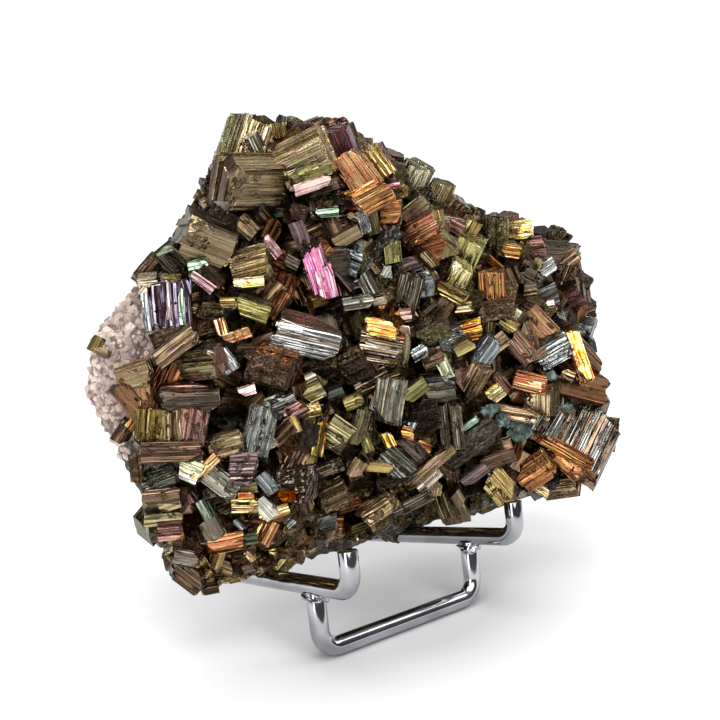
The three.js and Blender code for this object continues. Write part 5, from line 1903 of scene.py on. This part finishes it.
bpy.ops.object.select_all(action="DESELECT")
bpy.ops.mesh.primitive_plane_add(size=40, location=(0, 0, -0.00005))
table = bpy.context.object
table.name = "table_top"
table_finish, board, shader = new_material("white_table")
links = table_finish.node_tree.links
place = board.add("ShaderNodeTexCoord").outputs["Object"]
paper = board.noise(place, 60, 3, 0.5)
paper = board.ramp(paper, [(0.3, (0.54, 0.54, 0.545)), (0.7, (0.56, 0.56, 0.56))])
links.new(paper, shader.inputs["Base Color"])
shader.inputs["Roughness"].default_value = 0.7
# Painted shadow: in this oval under the stone the glow fades to nothing.
shadow_pool = board.vector("MULTIPLY", board.vector("SUBTRACT", place, stand_point(*SHADOW_POOL_MIDDLE)), SHADOW_POOL_SQUEEZE)
links.new(board.ramp(board.vector("LENGTH", shadow_pool), GLOW_AND_PAINTED_SHADOW), shader.inputs["Emission Color"])
shader.inputs["Emission Strength"].default_value = GLOW_STRENGTH
dress(table_finish, table)
print("table laid")

# %% [markdown]
# Three rectangular lamps light the stone: one above, one at the left like a window, and a weaker one
# at the right. A broad soft sun from above gives the shadow under the stone its soft edge. A lamp's
# place is measured from the stand, and it looks at the middle of the stone.

# %% Lamps
def lamp(name, place, size, power, aim=(0, 20, 35)):
    bpy.ops.object.select_all(action="DESELECT")
    bpy.ops.object.light_add(type="AREA", location=stand_point(*place))
    made = bpy.context.object
    made.name = name
    made.data.shape = "RECTANGLE"
    made.data.size, made.data.size_y = size[0] * MM, size[1] * MM
    made.data.energy = power
    way = stand_point(*aim) - made.location
    made.rotation_euler = way.to_track_quat("-Z", "Y").to_euler()
    return made


lamp("top_lamp", (-80, -60, 520), (360, 300), 1.3)
lamp("window_lamp", (-460, -150, 170), (160, 360), 0.9)
lamp("right_lamp", (380, -180, 260), (160, 300), 0.5)
bpy.ops.object.select_all(action="DESELECT")
bpy.ops.object.light_add(type="SUN", rotation=(math.radians(38), math.radians(-28), 0))
sun = bpy.context.object
sun.name = "tent_light"
sun.data.energy = 1.9
sun.data.angle = math.radians(58)

# %% [markdown]
# The surroundings are plain white to the camera. The metal sees them darker, with a brighter ceiling
# and a bright wall behind the stone, so some faces shine and others stay dark.

# %% Surroundings
WALL_WAY = (0.66, 0.75, 0)
AMBIENT, CEILING, WALL = 0.10, 0.30, 0.85
world = bpy.data.worlds.new("studio")
bpy.context.scene.world = world
world.use_nodes = True
world.node_tree.nodes.clear()
board = Board(world.node_tree)
seen = board.add("ShaderNodeLightPath").outputs["Is Camera Ray"]
way = board.add("ShaderNodeTexCoord").outputs["Generated"]
height = board.add("ShaderNodeSeparateXYZ", Vector=way).outputs["Z"]
away = board.vector("DOT_PRODUCT", way, WALL_WAY)
wall = board.times(board.ramp(away, [(0.1, (0, 0, 0)), (0.7, (1, 1, 1))]),
                   board.ramp(height, [(0.2, (1, 1, 1)), (0.6, (0, 0, 0))]))
ceiling = board.ramp(height, [(0.35, (0, 0, 0)), (0.9, (1, 1, 1))])
glow = board.plus(board.plus(AMBIENT, board.times(ceiling, CEILING)), board.times(wall, WALL))
white = board.add("ShaderNodeBackground", Color=(1, 1, 1, 1), Strength=1.05)
dim = board.add("ShaderNodeBackground", Color=(0.96, 0.98, 1, 1), Strength=glow)
both = board.add("ShaderNodeMixShader", in0=seen, in1=dim.outputs[0], in2=white.outputs[0])
world.node_tree.links.new(both.outputs[0], board.add("ShaderNodeOutputWorld").inputs[0])
bpy.context.scene.view_settings.view_transform = "Standard"
print("surroundings:", len(world.node_tree.nodes), "nodes")

# %% [markdown]
# Last, the box of the measured solids is printed.

# %% Print the measured box
print("solids", [tuple(round(v, 4) for v in c) for c in box_of_solids])
